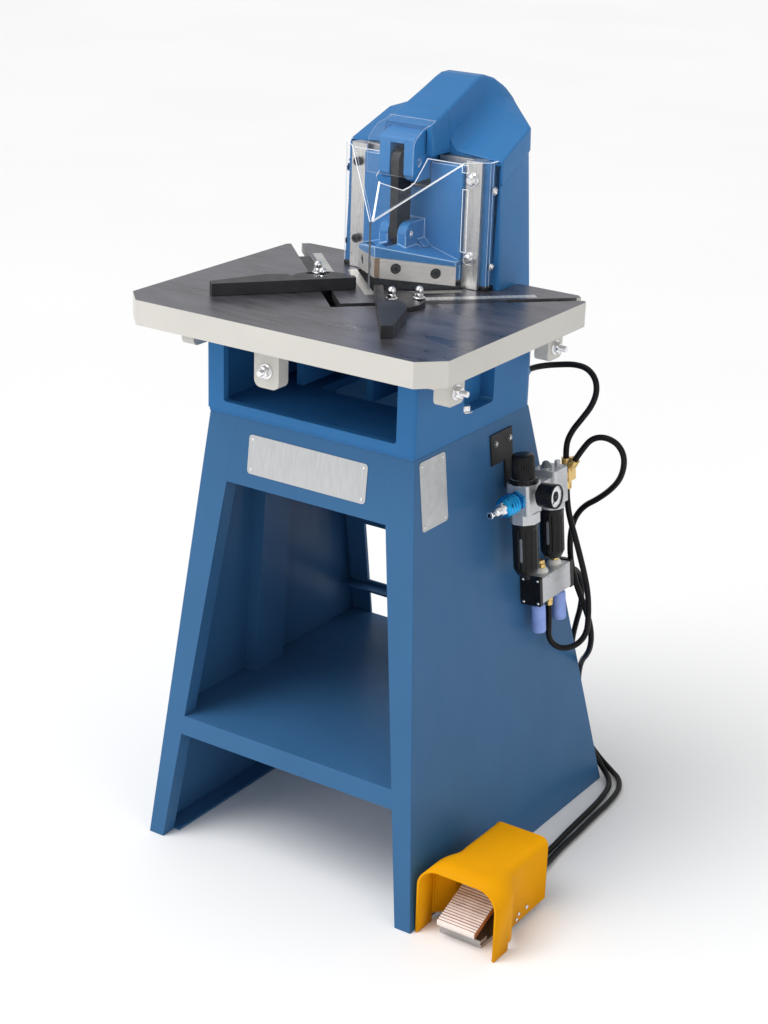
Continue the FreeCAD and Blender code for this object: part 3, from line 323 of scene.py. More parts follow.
# ---------------------------------------------------------------- pieces
def piece(name, shells, finish, body, place=None, smooth=35.0):
    """One object out of several shells.  Each shell is (points, faces) or, for a second
    finish, (points, faces, index of the finish or one index for each face)."""
    points, faces, index, start = [], [], [], 0
    for shell in shells:
        verts = np.asarray(shell[0], float)
        if place is not None:
            verts = place(verts)
        cells = shell[1]
        points.append(metres(verts))
        if isinstance(cells, np.ndarray):
            faces += (cells + start).tolist()
        else:
            faces += [(np.asarray(cell) + start).tolist() for cell in cells]
        index.append(np.broadcast_to(shell[2] if len(shell) > 2 else 0, len(cells)))
        start += len(verts)
    mesh = bpy.data.meshes.new(name)
    mesh.from_pydata(np.vstack(points).tolist(), [], faces)
    mesh.polygons.foreach_set("material_index", np.concatenate(index).astype(np.int32))
    work = bmesh.new()
    work.from_mesh(mesh)
    bmesh.ops.remove_doubles(work, verts=work.verts, dist=2e-6)
    bmesh.ops.dissolve_degenerate(work, dist=1e-7, edges=work.edges)
    bmesh.ops.recalc_face_normals(work, faces=work.faces)
    work.to_mesh(mesh)
    work.free()
    return shown(name, mesh, finish, body, smooth)


def shown(name, mesh, finish, body, smooth=35.0):
    """Puts a mesh in the scene with its finish and smooth shading, and ties it to its body."""
    mesh.shade_smooth()
    mesh.set_sharp_from_angle(angle=math.radians(smooth))
    for material in finish if isinstance(finish, (list, tuple)) else [finish]:
        mesh.materials.append(material)
    thing = bpy.data.objects.new(name, mesh)
    bpy.context.scene.collection.objects.link(thing)
    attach(thing, body)
    return thing


def walled(thing, thickness):
    """Gives an open skin a wall on its inner side, in millimetres."""
    wall = thing.modifiers.new("wall", "SOLIDIFY")
    wall.thickness = thickness * MM
    wall.offset = -1.0
    return thing


def stands_for(thing, slot, *nodes):
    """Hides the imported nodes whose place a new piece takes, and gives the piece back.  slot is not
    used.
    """
    if nodes:
        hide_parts(*nodes)
    return thing


def long_edges(least):
    """Chooses edges at least so long, in millimetres."""
    return lambda a, b: (b - a).length > least * MM


def outer_edges(a, b):
    """Chooses a side panel's long outer edges, away from the joint with the front panel."""
    x = abs((a.x + b.x) / 2 / MM - SHIFT[0])
    z = (a.z + b.z) / 2 / MM
    return (b - a).length > 0.2 and x > SIDE_FOOT - SIDE_SLOPE * z - 9.0


def level_edges(a, b):
    """Chooses long edges that run level from side to side."""
    return abs(a.x - b.x) > 0.1 and abs(a.z - b.z) < 0.001


def softened(node, width, finish, slot, pick=None, angle=30.0, segments=2, shrink=None,
             whole=True, rounds=-1, clamp=True):
    """Copy of a CAD node with its flat faces made whole and its chosen edges rounded.  The
    rounding sets in at width millimetres from an edge, where the faces meet at more than
    angle degrees and pick chooses it.  rounds is the index of the roundings' own finish, and
    shrink moves the points in the end."""
    source = frame["nodes"][node]
    mesh = source.data.copy()
    mesh.materials.clear()
    work = bmesh.new()
    work.from_mesh(mesh)
    bmesh.ops.remove_doubles(work, verts=work.verts, dist=1e-6)
    if whole:
        bmesh.ops.dissolve_limit(work, angle_limit=math.radians(0.6), verts=work.verts,
                                 edges=work.edges, delimit=set())
    edges = [e for e in work.edges if len(e.link_faces) == 2
             and e.calc_face_angle(0.0) > math.radians(angle)
             and (pick is None or pick(e.verts[0].co, e.verts[1].co))]
    for face in work.faces:
        face.material_index = 0
    bmesh.ops.bevel(work, geom=edges, offset=width * MM, offset_type="OFFSET",
                    segments=segments, profile=0.5, affect="EDGES", clamp_overlap=clamp,
                    harden_normals=False, material=rounds)
    work.to_mesh(mesh)
    work.free()
    if shrink is not None:
        points = np.empty(len(mesh.vertices) * 3)
        mesh.vertices.foreach_get("co", points)
        points = shrink(points.reshape(-1, 3) / MM - SHIFT)
        mesh.vertices.foreach_set("co", metres(points).ravel())
    thing = shown(node + "_soft", mesh, finish, source["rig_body"])
    even = thing.modifiers.new("even", "WEIGHTED_NORMAL")
    even.keep_sharp = True
    return stands_for(thing, slot, node)


# ---------------------------------------------------------------- finishes
class Tree:
    """Shorthand for the nodes of one material."""

    def __init__(self, name):
        self.material = bpy.data.materials.new(name)
        self.material.use_nodes = True
        self.nodes = self.material.node_tree.nodes
        self.links = self.material.node_tree.links
        self.shader = self.nodes["Principled BSDF"]
        self.place = self.node("ShaderNodeTexCoord").outputs["Object"]

    def node(self, kind, **values):
        made = self.nodes.new(kind)
        for key, value in values.items():
            setattr(made, key, value)
        return made

    def put(self, made, key, value):
        if isinstance(value, bpy.types.NodeSocket):
            self.links.new(value, made.inputs[key])
        else:
            made.inputs[key].default_value = value

    def set(self, **values):
        for key, value in values.items():
            name = key.replace("_", " ")
            if isinstance(value, tuple) and len(value) == 3:
                value = (*value, 1.0)
            self.put(self.shader, name, value)

    def noise(self, scale, detail=3.0, rough=0.5, stretch=(1, 1, 1), turn=(0, 0, 0)):
        made = self.node("ShaderNodeTexNoise")
        self.put(made, "Scale", scale)
        self.put(made, "Detail", detail)
        self.put(made, "Roughness", rough)
        self.put(made, "Vector", self.mapped(stretch, turn))
        return made.outputs["Fac"]

    def mapped(self, stretch, turn):
        made = self.node("ShaderNodeMapping")
        self.put(made, "Scale", stretch)
        self.put(made, "Rotation", turn)
        self.put(made, "Vector", self.place)
        return made.outputs["Vector"]

    def spread(self, value, low, high, to_low, to_high):
        made = self.node("ShaderNodeMapRange")
        made.clamp = True
        for key, number in (("From Min", low), ("From Max", high),
                            ("To Min", to_low), ("To Max", to_high), ("Value", value)):
            self.put(made, key, number)
        return made.outputs["Result"]

    def mix(self, factor, first, second):
        made = self.node("ShaderNodeMix", data_type="RGBA")
        self.links.new(factor, made.inputs["Factor"])
        for key, value in (("A", first), ("B", second)):
            socket = [s for s in made.inputs if s.name == key and s.type == "RGBA"][0]
            if isinstance(value, bpy.types.NodeSocket):
                self.links.new(value, socket)
            else:
                socket.default_value = (*value, 1.0)
        return [s for s in made.outputs if s.type == "RGBA"][0]

    def math(self, operation, first, second=None):
        made = self.node("ShaderNodeMath", operation=operation)
        self.put(made, 0, first)
        if second is not None:
            self.put(made, 1, second)
        return made.outputs["Value"]

    def axis(self, name, vector=None):
        made = self.node("ShaderNodeSeparateXYZ")
        self.links.new(vector or self.place, made.inputs["Vector"])
        return made.outputs[name]

    def upward(self):
        made = self.node("ShaderNodeNewGeometry")
        return self.axis("Z", made.outputs["Normal"])

    def bump(self, height, strength, distance):
        made = self.node("ShaderNodeBump")
        self.put(made, "Strength", strength)
        self.put(made, "Distance", distance)
        self.put(made, "Height", height)
        self.put(self.shader, "Normal", made.outputs["Normal"])


def shade(colour, factor):
    """A lighter or darker tone of a colour."""
    return tuple(min(1.0, c * factor) for c in colour)


def painted(name, colour, rough=0.36, grain=260.0, depth=0.00006, patch=0.07, coat=0.04, gloss=0.1):
    """Paint: broad soft patches of tone, fine orange peel and faint rub marks."""
    t = Tree(name)
    broad = t.noise(5.0, 4.0, 0.55)
    rub = t.noise(38.0, 5.0, 0.6, (1, 1, 0.35))
    tone = t.mix(t.spread(broad, 0.3, 0.7, 0.0, 1.0), shade(colour, 1 - patch), shade(colour, 1 + patch))
    dull = t.mix(t.spread(rub, 0.62, 0.8, 0.0, 0.18), (0, 0, 0), (1, 1, 1))
    t.set(Base_Color=t.mix(dull, tone, shade(colour, 1.35)))
    t.set(Roughness=t.spread(rub, 0.35, 0.75, rough - 0.05, rough + 0.1))
    t.set(Coat_Weight=coat, Specular_IOR_Level=gloss, Coat_Roughness=0.22)
    t.bump(t.noise(grain, 3.0, 0.5), 0.35, depth)
    return t.material


def metal(name, colour, rough=0.3, streak=(1, 1, 1), scale=90.0, metallic=1.0, tint=0.12, depth=0.00003):
    """Bare metal: streaks along the grain vary the tone, the gloss and the height."""
    t = Tree(name)
    grain = t.noise(scale, 6.0, 0.65, streak)
    cloud = t.noise(14.0, 3.0, 0.5)
    tone = t.mix(t.spread(grain, 0.3, 0.7, 0.0, 1.0), shade(colour, 1 - tint), shade(colour, 1 + tint))
    t.set(Base_Color=t.mix(t.spread(cloud, 0.5, 0.8, 0.0, 0.35), tone, shade(colour, 0.8)))
    t.set(Roughness=t.spread(grain, 0.3, 0.7, rough - 0.07, rough + 0.08), Metallic=metallic)
    t.bump(grain, 0.25, depth)
    return t.material


def plastic(name, colour, rough=0.4, grain=700.0, depth=0.00004, patch=0.1, gloss=0.3):
    """Moulded plastic or rubber: a fine grain with slightly worn, lighter places."""
    t = Tree(name)
    cloud = t.noise(45.0, 4.0, 0.6)
    worn = t.spread(cloud, 0.35, 0.75, 0.0, 1.0)
    t.set(Base_Color=t.mix(worn, shade(colour, 1 - patch), shade(colour, 1 + 3 * patch)))
    t.set(Roughness=t.spread(cloud, 0.3, 0.7, rough - 0.06, rough + 0.09), Specular_IOR_Level=gloss)
    t.bump(t.noise(grain, 2.0, 0.5), 0.3, depth)
    return t.material


def table_finish(cream, dark):
    """Ground top with smeary lighter blotches, machined slots, and a cream painted casting.
    Faces that look up at the top's height are ground.  What lies inside the rim, between the
    cast underside and the top, is machined: there x, y and x + y, counted from the table's
    middle, are less than those of its sides and cut corners."""
    half_x, half_y, corner, underside = 0.2825, 0.2265, 0.4805, 0.9016
    t = Tree("table_finish")
    smear = t.noise(7.0, 5.0, 0.6, (1.0, 2.6, 1), (0, 0, 0.5))
    fine = t.noise(60.0, 6.0, 0.7, (0.25, 3.0, 1), (0, 0, 0.12))
    top = t.mix(t.spread(smear, 0.38, 0.68, 0.0, 1.0), dark, shade(dark, 2.1))
    top = t.mix(t.spread(fine, 0.45, 0.8, 0.0, 0.55), top, shade(dark, 2.9))
    paint = t.noise(6.0, 4.0, 0.5)
    side = t.mix(t.spread(paint, 0.3, 0.7, 0.0, 1.0), shade(cream, 0.94), shade(cream, 1.03))
    machined = t.noise(80.0, 5.0, 0.6, (1, 1, 6))
    slot = t.mix(t.spread(machined, 0.3, 0.7, 0, 1), (0.10, 0.10, 0.105), (0.22, 0.22, 0.23))
    high = t.math("GREATER_THAN", t.axis("Z"), (TABLE_TOP - 2.0) * MM)
    flat = t.math("GREATER_THAN", t.upward(), 0.5)
    ground = t.math("MULTIPLY", high, flat)
    x, y = [t.math("ABSOLUTE", t.math("ADD", t.axis(name), float(-shift * MM)))
            for name, shift in zip("XY", SHIFT)]
    inside = t.math("MULTIPLY", t.math("LESS_THAN", x, half_x), t.math("LESS_THAN", y, half_y))
    inside = t.math("MULTIPLY", inside, t.math("LESS_THAN", t.math("ADD", x, y), corner))
    inside = t.math("MULTIPLY", inside, t.math("GREATER_THAN", t.axis("Z"), underside))
    colour = t.mix(ground, t.mix(inside, side, slot), top)
    t.set(Base_Color=colour)
    t.set(Metallic=t.math("MULTIPLY", t.math("MAXIMUM", ground, inside), 0.85))
    gloss = t.spread(smear, 0.35, 0.7, 0.24, 0.42)
    t.set(Roughness=t.math("MAXIMUM", t.math("MULTIPLY", gloss, ground),
                           t.math("MULTIPLY", t.math("SUBTRACT", 1.0, ground), 0.42)))
    rough = t.math("MULTIPLY", t.noise(180.0, 3.0, 0.5), t.math("SUBTRACT", 1.0, ground))
    t.bump(rough, 0.4, 0.0001)
    return t.material


def scale_finish():
    """Satin strip with a fine line every 2.5 millimetres and a bold one every 10."""
    t = Tree("scale_finish")
    middle = t.math("ABSOLUTE", t.math("ADD", t.axis("X"), float(-SHIFT[0] * MM)))
    along = t.math("MULTIPLY", t.math("ADD", middle, t.axis("Y")), 1000 / R2)
    fine = t.math("LESS_THAN", t.math("PINGPONG", along, 1.25), 0.16)
    wide = t.math("LESS_THAN", t.math("PINGPONG", along, 5.0), 0.3)
    mark = t.math("MAXIMUM", t.math("MULTIPLY", fine, 0.55), wide)
    cloud = t.spread(t.noise(40.0, 3.0), 0.3, 0.7, 0, 1)
    plain = t.mix(cloud, (0.62, 0.62, 0.60), (0.72, 0.72, 0.70))
    t.set(Base_Color=t.mix(mark, plain, (0.05, 0.05, 0.05)))
    t.set(Roughness=t.spread(t.noise(120.0), 0.3, 0.7, 0.28, 0.4), Metallic=0.6)
    t.bump(mark, 0.2, -0.00005)
    return t.material


def clear_finish():
    """Clear sheet: most light passes straight through, and fine scratches haze it here and there."""
    t = Tree("clear_sheet")
    t.set(Base_Color=(0.80, 0.86, 0.90))
    scratch = t.noise(90.0, 5.0, 0.6, (1, 1, 5))
    t.set(Roughness=t.spread(scratch, 0.45, 0.8, 0.04, 0.12))
    t.set(Alpha=t.spread(scratch, 0.4, 0.8, 0.014, 0.04))
    t.material.surface_render_method = "BLENDED"
    return t.material


def edge_glow_finish(name, clearness, glow):
    """Edge of the clear sheet, painted near white and given an emission glow: a painted highlight and a
    painted glow.
    """
    t = Tree(name)
    tone = t.noise(30.0, 3.0, 0.5)
    t.set(Base_Color=t.mix(t.spread(tone, 0.3, 0.7, 0, 1), (0.80, 0.84, 0.87), (0.97, 0.98, 1.0)))
    t.set(Roughness=t.spread(tone, 0.3, 0.7, 0.2, 0.4), Transmission_Weight=clearness)
    t.set(Emission_Color=(0.95, 0.98, 1.0), Emission_Strength=glow)
    return t.material


def make_finishes(colours):
    """Every finish of the machine under a short name, from the colours that the user sets."""
    sheet, casting = tuple(colours.blue_paint), tuple(colours.casting_paint)
    return {
        "blue_sheet": painted("blue_sheet_paint", sheet, 0.34, 300.0, 0.00004, 0.05),
        "blue_cast": painted("blue_casting_paint", casting, 0.34, 150.0, 0.0001, 0.06, 0.04, 0.16),
        "table": table_finish(tuple(colours.cream_paint), tuple(colours.ground_top)),
        "scale": scale_finish(),
        "gib": metal("gib_steel", (0.60, 0.59, 0.58), 0.3, (8, 8, 0.4), scale=60.0, metallic=0.85),
        "plate": metal("satin_plate", (0.52, 0.53, 0.54), 0.42, (8, 1, 0.5), scale=60.0,
                       metallic=0.7),
        # The lower casting's paint is the casting paint made a tenth darker.
        "blue_low": painted("blue_pedestal_paint", shade(casting, 0.9), 0.34, 150.0, 0.0001, 0.06),
        # The ram's paint is the casting paint made a fifth lighter: painted light on the ram, which
        # stands in the head's shade.
        "blue_ram": painted("blue_ram_paint", shade(casting, 1.2), 0.32, 150.0, 0.0001, 0.06,
                            0.06, 0.2),
        # A lighter, glossier blue for the ram's rounded edges: a painted highlight along the edges.
        "blue_worn": painted("blue_casting_edges", (0.30, 0.50, 0.76), 0.3, 150.0, 0.00006, 0.06,
                             0.3, 0.5),
        "slide_steel": metal("oiled_slide_steel", (0.42, 0.41, 0.40), 0.38, (4, 1, 0.3), scale=80.0),
        "blade_steel": metal("blade_steel", (0.70, 0.68, 0.65), 0.36, (0.6, 0.6, 7), scale=70.0,
                             metallic=0.75),
        "tan_steel": metal("mitre_steel", (0.34, 0.24, 0.16), 0.42, (1, 1, 5), scale=60.0,
                           metallic=0.7),
        "black_steel": plastic("black_oxide", (0.022, 0.022, 0.025), 0.34, 400.0, 0.00003, 0.15),
        "black_paint": plastic("black_bracket_paint", (0.012, 0.012, 0.013), 0.4, 500.0, 0.00004,
                               0.15),
        "bright_steel": metal("plated_steel", (0.80, 0.80, 0.82), 0.16, scale=200.0, tint=0.06),
        "zinc": metal("zinc_casting", (0.60, 0.61, 0.63), 0.36, scale=320.0, metallic=0.55,
                      depth=0.00006),
        "alu": metal("valve_aluminium", (0.55, 0.56, 0.58), 0.34, (1, 0.3, 4), scale=120.0,
                     metallic=0.8),
        "blue_anodised": metal("blue_anodised", (0.02, 0.36, 0.74), 0.2, (1, 5, 1), metallic=0.9),
        "brass": metal("turned_brass", (0.74, 0.52, 0.20), 0.24, (1, 1, 3), scale=150.0),
        "black_plastic": plastic("black_plastic", (0.009, 0.009, 0.010), 0.24, 900.0, 0.00003, 0.1,
                                 0.2),
        "rubber": plastic("hose_rubber", (0.007, 0.007, 0.008), 0.33, 800.0, 0.00003, 0.12, 0.16),
        "muffler": plastic("porous_plastic", (0.27, 0.38, 0.82), 0.6, 500.0, 0.0002, 0.12),
        "white_plastic": plastic("white_collar", (0.88, 0.87, 0.80), 0.35, 300.0, 0.00002, 0.03),
        "pedal": painted("yellow_orange_paint", tuple(colours.pedal_paint), 0.5, 350.0, 0.00006,
                         0.05, 0.0, 0.04),
        "tread": plastic("tread_rubber", (0.80, 0.72, 0.68), 0.42, 250.0, 0.00003, 0.05),
        "tread_side": plastic("tread_core", (0.40, 0.17, 0.06), 0.5, 250.0, 0.00005, 0.15),
        "tread_groove": plastic("tread_groove", (0.22, 0.13, 0.11), 0.6, 250.0, 0.00003, 0.1),
        "tray": metal("tray_metal", (0.45, 0.45, 0.45), 0.33, (1, 4, 1), scale=80.0, metallic=0.85),
        "sight": plastic("sight_glass", (0.16, 0.18, 0.20), 0.12, 200.0, 0.00001, 0.1),
        "dial": plastic("dial_face", (0.90, 0.91, 0.92), 0.35, 300.0, 0.00001, 0.02),
        "ink": plastic("dial_ink", (0.02, 0.02, 0.025), 0.4, 300.0, 0.00001, 0.1),
        "clear": clear_finish(),
        "clear_edge": edge_glow_finish("clear_sheet_edge", 0.0, 0.35),
        "clear_joint": edge_glow_finish("clear_sheet_joint", 0.55, 0.02),
    }


# Finishes by name, once they are made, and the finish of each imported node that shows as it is.
FINISH = {}
NODE_FINISH = {
    "stand_stiffeners": "blue_sheet", "lower_die_right": "blade_steel",
    "lower_die_left": "blade_steel", "rocker_pivot_pin": "bright_steel", "air_cylinder": "alu",
    "piston_rod": "bright_steel", "rocker_pins": "bright_steel", "gauge_needle": "black_plastic",
}


# ---------------------------------------------------------------- sizes and colours
class NotcherSizes(bpy.types.PropertyGroup):
    casting_edge: bpy.props.FloatProperty(
        name="Casting edge", description="Radius of the rounded edges of the castings",
        default=0.004, min=0.001, max=0.01, unit="LENGTH")
    sheet_edge: bpy.props.FloatProperty(
        name="Sheet edge", description="Radius of the folded sheet's edges",
        default=0.0012, min=0.0002, max=0.003, unit="LENGTH")
    hose_diameter: bpy.props.FloatProperty(
        name="Hose diameter", description="Outside diameter of the air hoses",
        default=0.010, min=0.006, max=0.016, unit="LENGTH")
    hose_rings: bpy.props.IntProperty(
        name="Hose detail", description="Segments round each hose", default=8, min=3, max=16)


class NotcherColours(bpy.types.PropertyGroup):
    blue_paint: bpy.props.FloatVectorProperty(
        name="Blue paint", description="Colour of the stand and castings",
        subtype="COLOR", default=(0.040, 0.128, 0.272), min=0, max=1)
    casting_paint: bpy.props.FloatVectorProperty(
        name="Casting paint", description="Colour of the castings",
        subtype="COLOR", default=(0.033, 0.168, 0.405), min=0, max=1)
    cream_paint: bpy.props.FloatVectorProperty(
        name="Cream paint", description="Colour of the table's painted sides",
        subtype="COLOR", default=(0.58, 0.565, 0.525), min=0, max=1)
    ground_top: bpy.props.FloatVectorProperty(
        name="Ground top", description="Darkest tone of the table's ground face",
        subtype="COLOR", default=(0.125, 0.121, 0.138), min=0, max=1)
    pedal_paint: bpy.props.FloatVectorProperty(
        name="Pedal paint", description="Colour of the pedal's guard",
        subtype="COLOR", default=(0.78, 0.34, 0.003), min=0, max=1)


# ---------------------------------------------------------------- operators
class NOTCHER_OT_camera(bpy.types.Operator):
    """Sets the camera that sees the machine from its front right, a little above the table"""
    bl_idname = "notcher.camera"
    bl_label = "Camera"

    def execute(self, context):
        azimuth, elevation, roll = (math.radians(angle) for angle in (33.28, 21.36, 1.79))
        target = np.array([-0.020, -0.072, 0.586])
        distance = 3.243
        back = np.array([math.sin(azimuth) * math.cos(elevation),
                         -math.cos(azimuth) * math.cos(elevation), math.sin(elevation)])
        right = np.cross(-back, UP)
        right /= np.linalg.norm(right)
        up = np.cross(right, -back)
        side = math.cos(roll) * right + math.sin(roll) * up
        top = -math.sin(roll) * right + math.cos(roll) * up
        place = np.eye(4)
        place[:3] = np.column_stack([side, top, back, target + back * distance])
        data = bpy.data.cameras.new("camera")
        data.lens = 70.98
        data.sensor_width = 36.0
        data.clip_end = 50.0
        thing = bpy.data.objects.new("camera", data)
        thing.matrix_world = Matrix(place.tolist())
        context.scene.collection.objects.link(thing)
        context.scene.camera = thing
        return {"FINISHED"}


class NOTCHER_OT_finishes(bpy.types.Operator):
    """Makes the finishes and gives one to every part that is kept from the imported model"""
    bl_idname = "notcher.finishes"
    bl_label = "Finishes"

    def execute(self, context):
        FINISH.update(make_finishes(context.scene.notcher_colours))
        for node, finish in NODE_FINISH.items():
            thing = frame["nodes"][node]
            thing.data.materials.clear()
            thing.data.materials.append(FINISH[finish])
        return {"FINISHED"}


class NOTCHER_OT_hoses(bpy.types.Operator):
    """Lays the four air hoses along their routes"""
    bl_idname = "notcher.hoses"
    bl_label = "Hoses"

    def execute(self, context):
        sizes = context.scene.notcher_sizes
        for name, (length, route) in HOSES.items():
            points = metres(route)
            curve = bpy.data.curves.new(name + "_line", "CURVE")
            curve.dimensions = "3D"
            spline = curve.splines.new("NURBS")
            spline.points.add(len(points) - 1)
            spline.points.foreach_set("co", np.column_stack([points, np.ones(len(points))]).ravel())
            spline.order_u = 3
            spline.use_endpoint_u = True
            spline.resolution_u = 10
            curve.bevel_depth = sizes.hose_diameter / 2
            curve.bevel_resolution = sizes.hose_rings
            curve.use_fill_caps = True
            curve.materials.append(FINISH["rubber"])
            thing = bpy.data.objects.new(name + "_line", curve)
            context.scene.collection.objects.link(thing)
            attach(thing, "base")
            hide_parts(name)
        return {"FINISHED"}


class NOTCHER_OT_castings(bpy.types.Operator):
    """Rounds the edges of the stand, the cast box and the table"""
    bl_idname = "notcher.castings"
    bl_label = "Castings"

    def execute(self, context):
        sizes = context.scene.notcher_sizes
        sheet = sizes.sheet_edge / MM
        blue = FINISH["blue_sheet"]
        for node, pick in (("stand_left_panel", outer_edges), ("stand_right_panel", outer_edges),
                           ("stand_front_panel", level_edges), ("stand_shelf", level_edges),
                           ("stand_back_panel", level_edges)):
            softened(node, sheet, blue, "blue_sheet", pick)
        softened("lower_casting", 1.6, FINISH["blue_low"], "blue_cast", long_edges(14))
        softened("table", 0.8, FINISH["table"], "cream_cast", long_edges(14))
        return {"FINISHED"}


# Right half sections of the head, from the middle out.  A row of the nose is its y, the
# height of the roof, its half width, the foot of its side (x, z) and the radius of its edge.
# A row of the shoulders is y, the roof's height and half width, the hollow corner (x, z), the
# column's edge (x, z) and the radii of the roof's edge and of the hollow.
HEAD_NOSE = ((124, 1192, 43.0, 48.9, 1148.5, 6),
             (150, 1202, 42.1, 49.2, 1149.5, 6),
             (174, 1211.3, 41.3, 49.0, 1149.5, 6))
HEAD_SHOULDER = ((174, 1211.3, 41.3, 48.7, 1151, 142.0, 1143.0, 6, 24),
                 (200, 1221.4, 40.2, 47.6, 1161, 140.0, 1153.4, 6, 27),
                 (226, 1231.5, 39.2, 47.0, 1172, 138.0, 1163.7, 6, 30),
                 (258, 1245.0, 38.3, 47.5, 1187, 135.5, 1176.4, 7, 34),
                 (272, 1249.6, 38.0, 49.0, 1194, 134.0, 1182.0, 8, 36),
                 (290, 1250.0, 38.5, 53.0, 1203, 114.5, 1189.2, 10, 40),
                 (312, 1243.5, 41.0, 58.0, 1209, 90.5, 1197.9, 11, 34),
                 (330, 1232.0, 44.0, 60.0, 1211, 71.0, 1205.1, 9, 16),
                 (338, 1225.5, 46.0, 60.5, 1211, 62.4, 1208.3, 6, 4))


def between(table, y):
    """Rows of a table at given stations, each column worked out in a straight line between."""
    table = np.asarray(table, float)
    return np.column_stack([np.interp(y, table[:, 0], column) for column in table.T])


def mirrored(half):
    """Whole section from its right half: the left half is the right one with x reversed."""
    left = half[::-1] * (-1, 1)
    return np.vstack([left, half[1:]])


def nose_section(row):
    """Roof, round edge, side and a short step in under the side."""
    _, roof, half, low_x, low_z, edge = row
    path = [(0, roof), (half, roof), (low_x, low_z), (low_x - 9, low_z - 1.4)]
    return mirrored(rounded_corner(path, (edge, 3.0), 6))


def shoulder_section(row):
    """Roof, round edge, flank, hollow, shoulder, round edge and a hem down the column."""
    _, roof, half, low_x, low_z, out_x, out_z, edge, hollow = row
    path = [(0, roof), (half, roof), (low_x, low_z), (out_x, out_z), (out_x + 1.2, out_z - 36),
            (out_x - 0.6, out_z - 40)]
    return mirrored(rounded_corner(path, (edge, hollow, 3.5, 0.5), 9))


def head_skin():
    """Skin of the head and shoulders: the section at each station of y is a path from the
    roof down both sides, with an arc at each corner, and the stations are joined in a grid.
    The front rim is rounded by three sections that are drawn in along their own normals,
    only beyond x = reach on the shoulders, where the nose covers the rest."""
    shells = []
    for table, section, reach in ((HEAD_NOSE, nose_section, -9.0),
                                  (HEAD_SHOULDER, shoulder_section, 52.0)):
        first, last = float(table[0][0]), table[-1][0]
        y = np.unique(np.concatenate([np.linspace(first, last, 30), [row[0] for row in table]]))
        flat = np.stack([section(row) for row in between(table, y)])
        stations = np.repeat(y[:, None], flat.shape[1], 1)
        points = np.stack([flat[..., 0], stations, flat[..., 1]], -1)
        front = points[0]
        run = np.gradient(front[:, [0, 2]], axis=0)
        inward = np.column_stack([run[:, 1], 0 * run[:, 0], -run[:, 0]])
        inward /= np.linalg.norm(run, axis=1)[:, None]
        share = np.clip((abs(front[:, :1]) - reach) / 8, 0, 1)
        rim = [front + inset * inward * share + (0, ahead, 0)
               for ahead, inset in ((0.0, 2.2), (0.6, 1.0), (2.2, 0.0))]
        shells.append(grid(np.concatenate([np.stack(rim), points[points[:, 0, 1] > first + 2.5]])))
    return shells


def tuck(points):
    """Draws the C-frame's head in by a millimetre or two, to lie under its skin.  The move
    sets in at z = 1110 and is whole 40 millimetres higher."""
    high = np.clip((points[:, 2] - 1110) / 40, 0, 1)
    points[:, 0] *= 1 - 0.022 * high
    points[:, 2] -= 1.6 * high
    points[:, 1] += np.where(points[:, 1] < 150, 0.8, 0.0) * high
    points[:, 1] -= np.where(points[:, 1] > 330, 1.5, 0.0) * high
    return points


class NOTCHER_OT_c_frame(bpy.types.Operator):
    """Makes the column with its softened edges and the flowing skin of the head and shoulders"""
    bl_idname = "notcher.c_frame"
    bl_label = "C-frame"

    def execute(self, context):
        cast = context.scene.notcher_sizes.casting_edge / MM
        blue = FINISH["blue_cast"]
        softened("frame_casting", cast, blue, "blue_cast", long_edges(30), 34.0, 3, tuck)
        skin = walled(piece("head_skin", head_skin(), blue, "base", smooth=50.0), 2.5)
        stands_for(skin, "blue_cast")
        return {"FINISHED"}


class NOTCHER_OT_guards(bpy.types.Operator):
    """Makes the two bent clear panes, the sloping cover between them and the visor of the rocker"""
    bl_idname = "notcher.guards"
    bl_label = "Clear guards"

    def execute(self, context):
        # The clear sheet's second and third finishes are painted glows along its edges.
        clear = [FINISH["clear"], FINISH["clear_edge"], FINISH["clear_joint"]]
        for side, name in ((1, "guard_right"), (-1, "guard_left")):
            stands_for(piece(name + "_pane", pane(side), clear, "base", smooth=25.0), "clear_guard", name)
        stands_for(piece("guard_cover", cover(), clear, "base", smooth=25.0), "clear_guard")
        thin = [FINISH["clear"], FINISH["clear_joint"]]
        stands_for(piece("rocker_visor", visor(), thin, "base", smooth=25.0), "clear_guard")
        fixings = []
        for side in (-1, 1):
            low, high = sorted((side * 122.4, side * 136.8))
            fixings.append(block((low, 155.2, TABLE_TOP + 0.1), (high, 173.8, 947), 1.2))
            for z in (978, 1098):
                fixings += with_finish([dome_head((side * 137, 165, z), (side, 0, 0), 5.6, 4.4, 3.2),
                                        washer((side * 136.9, 165, z), (side, 0, 0), 6.4, 0.9)], 1)
        screws = piece("guard_screws", fixings, [FINISH["black_plastic"], FINISH["bright_steel"]], "base")
        stands_for(screws, "bright_steel", "guard_fixings")
        return {"FINISHED"}


def bent(tip, corner, bend, end, radius):
    """Plan of one face of a pane: straight from the V's tip to the corner, then on to the
    bend and round it to the end of the wing."""
    return np.vstack([[tip, corner], rounded_corner([corner, bend, end], (radius,), 8)[1:]])


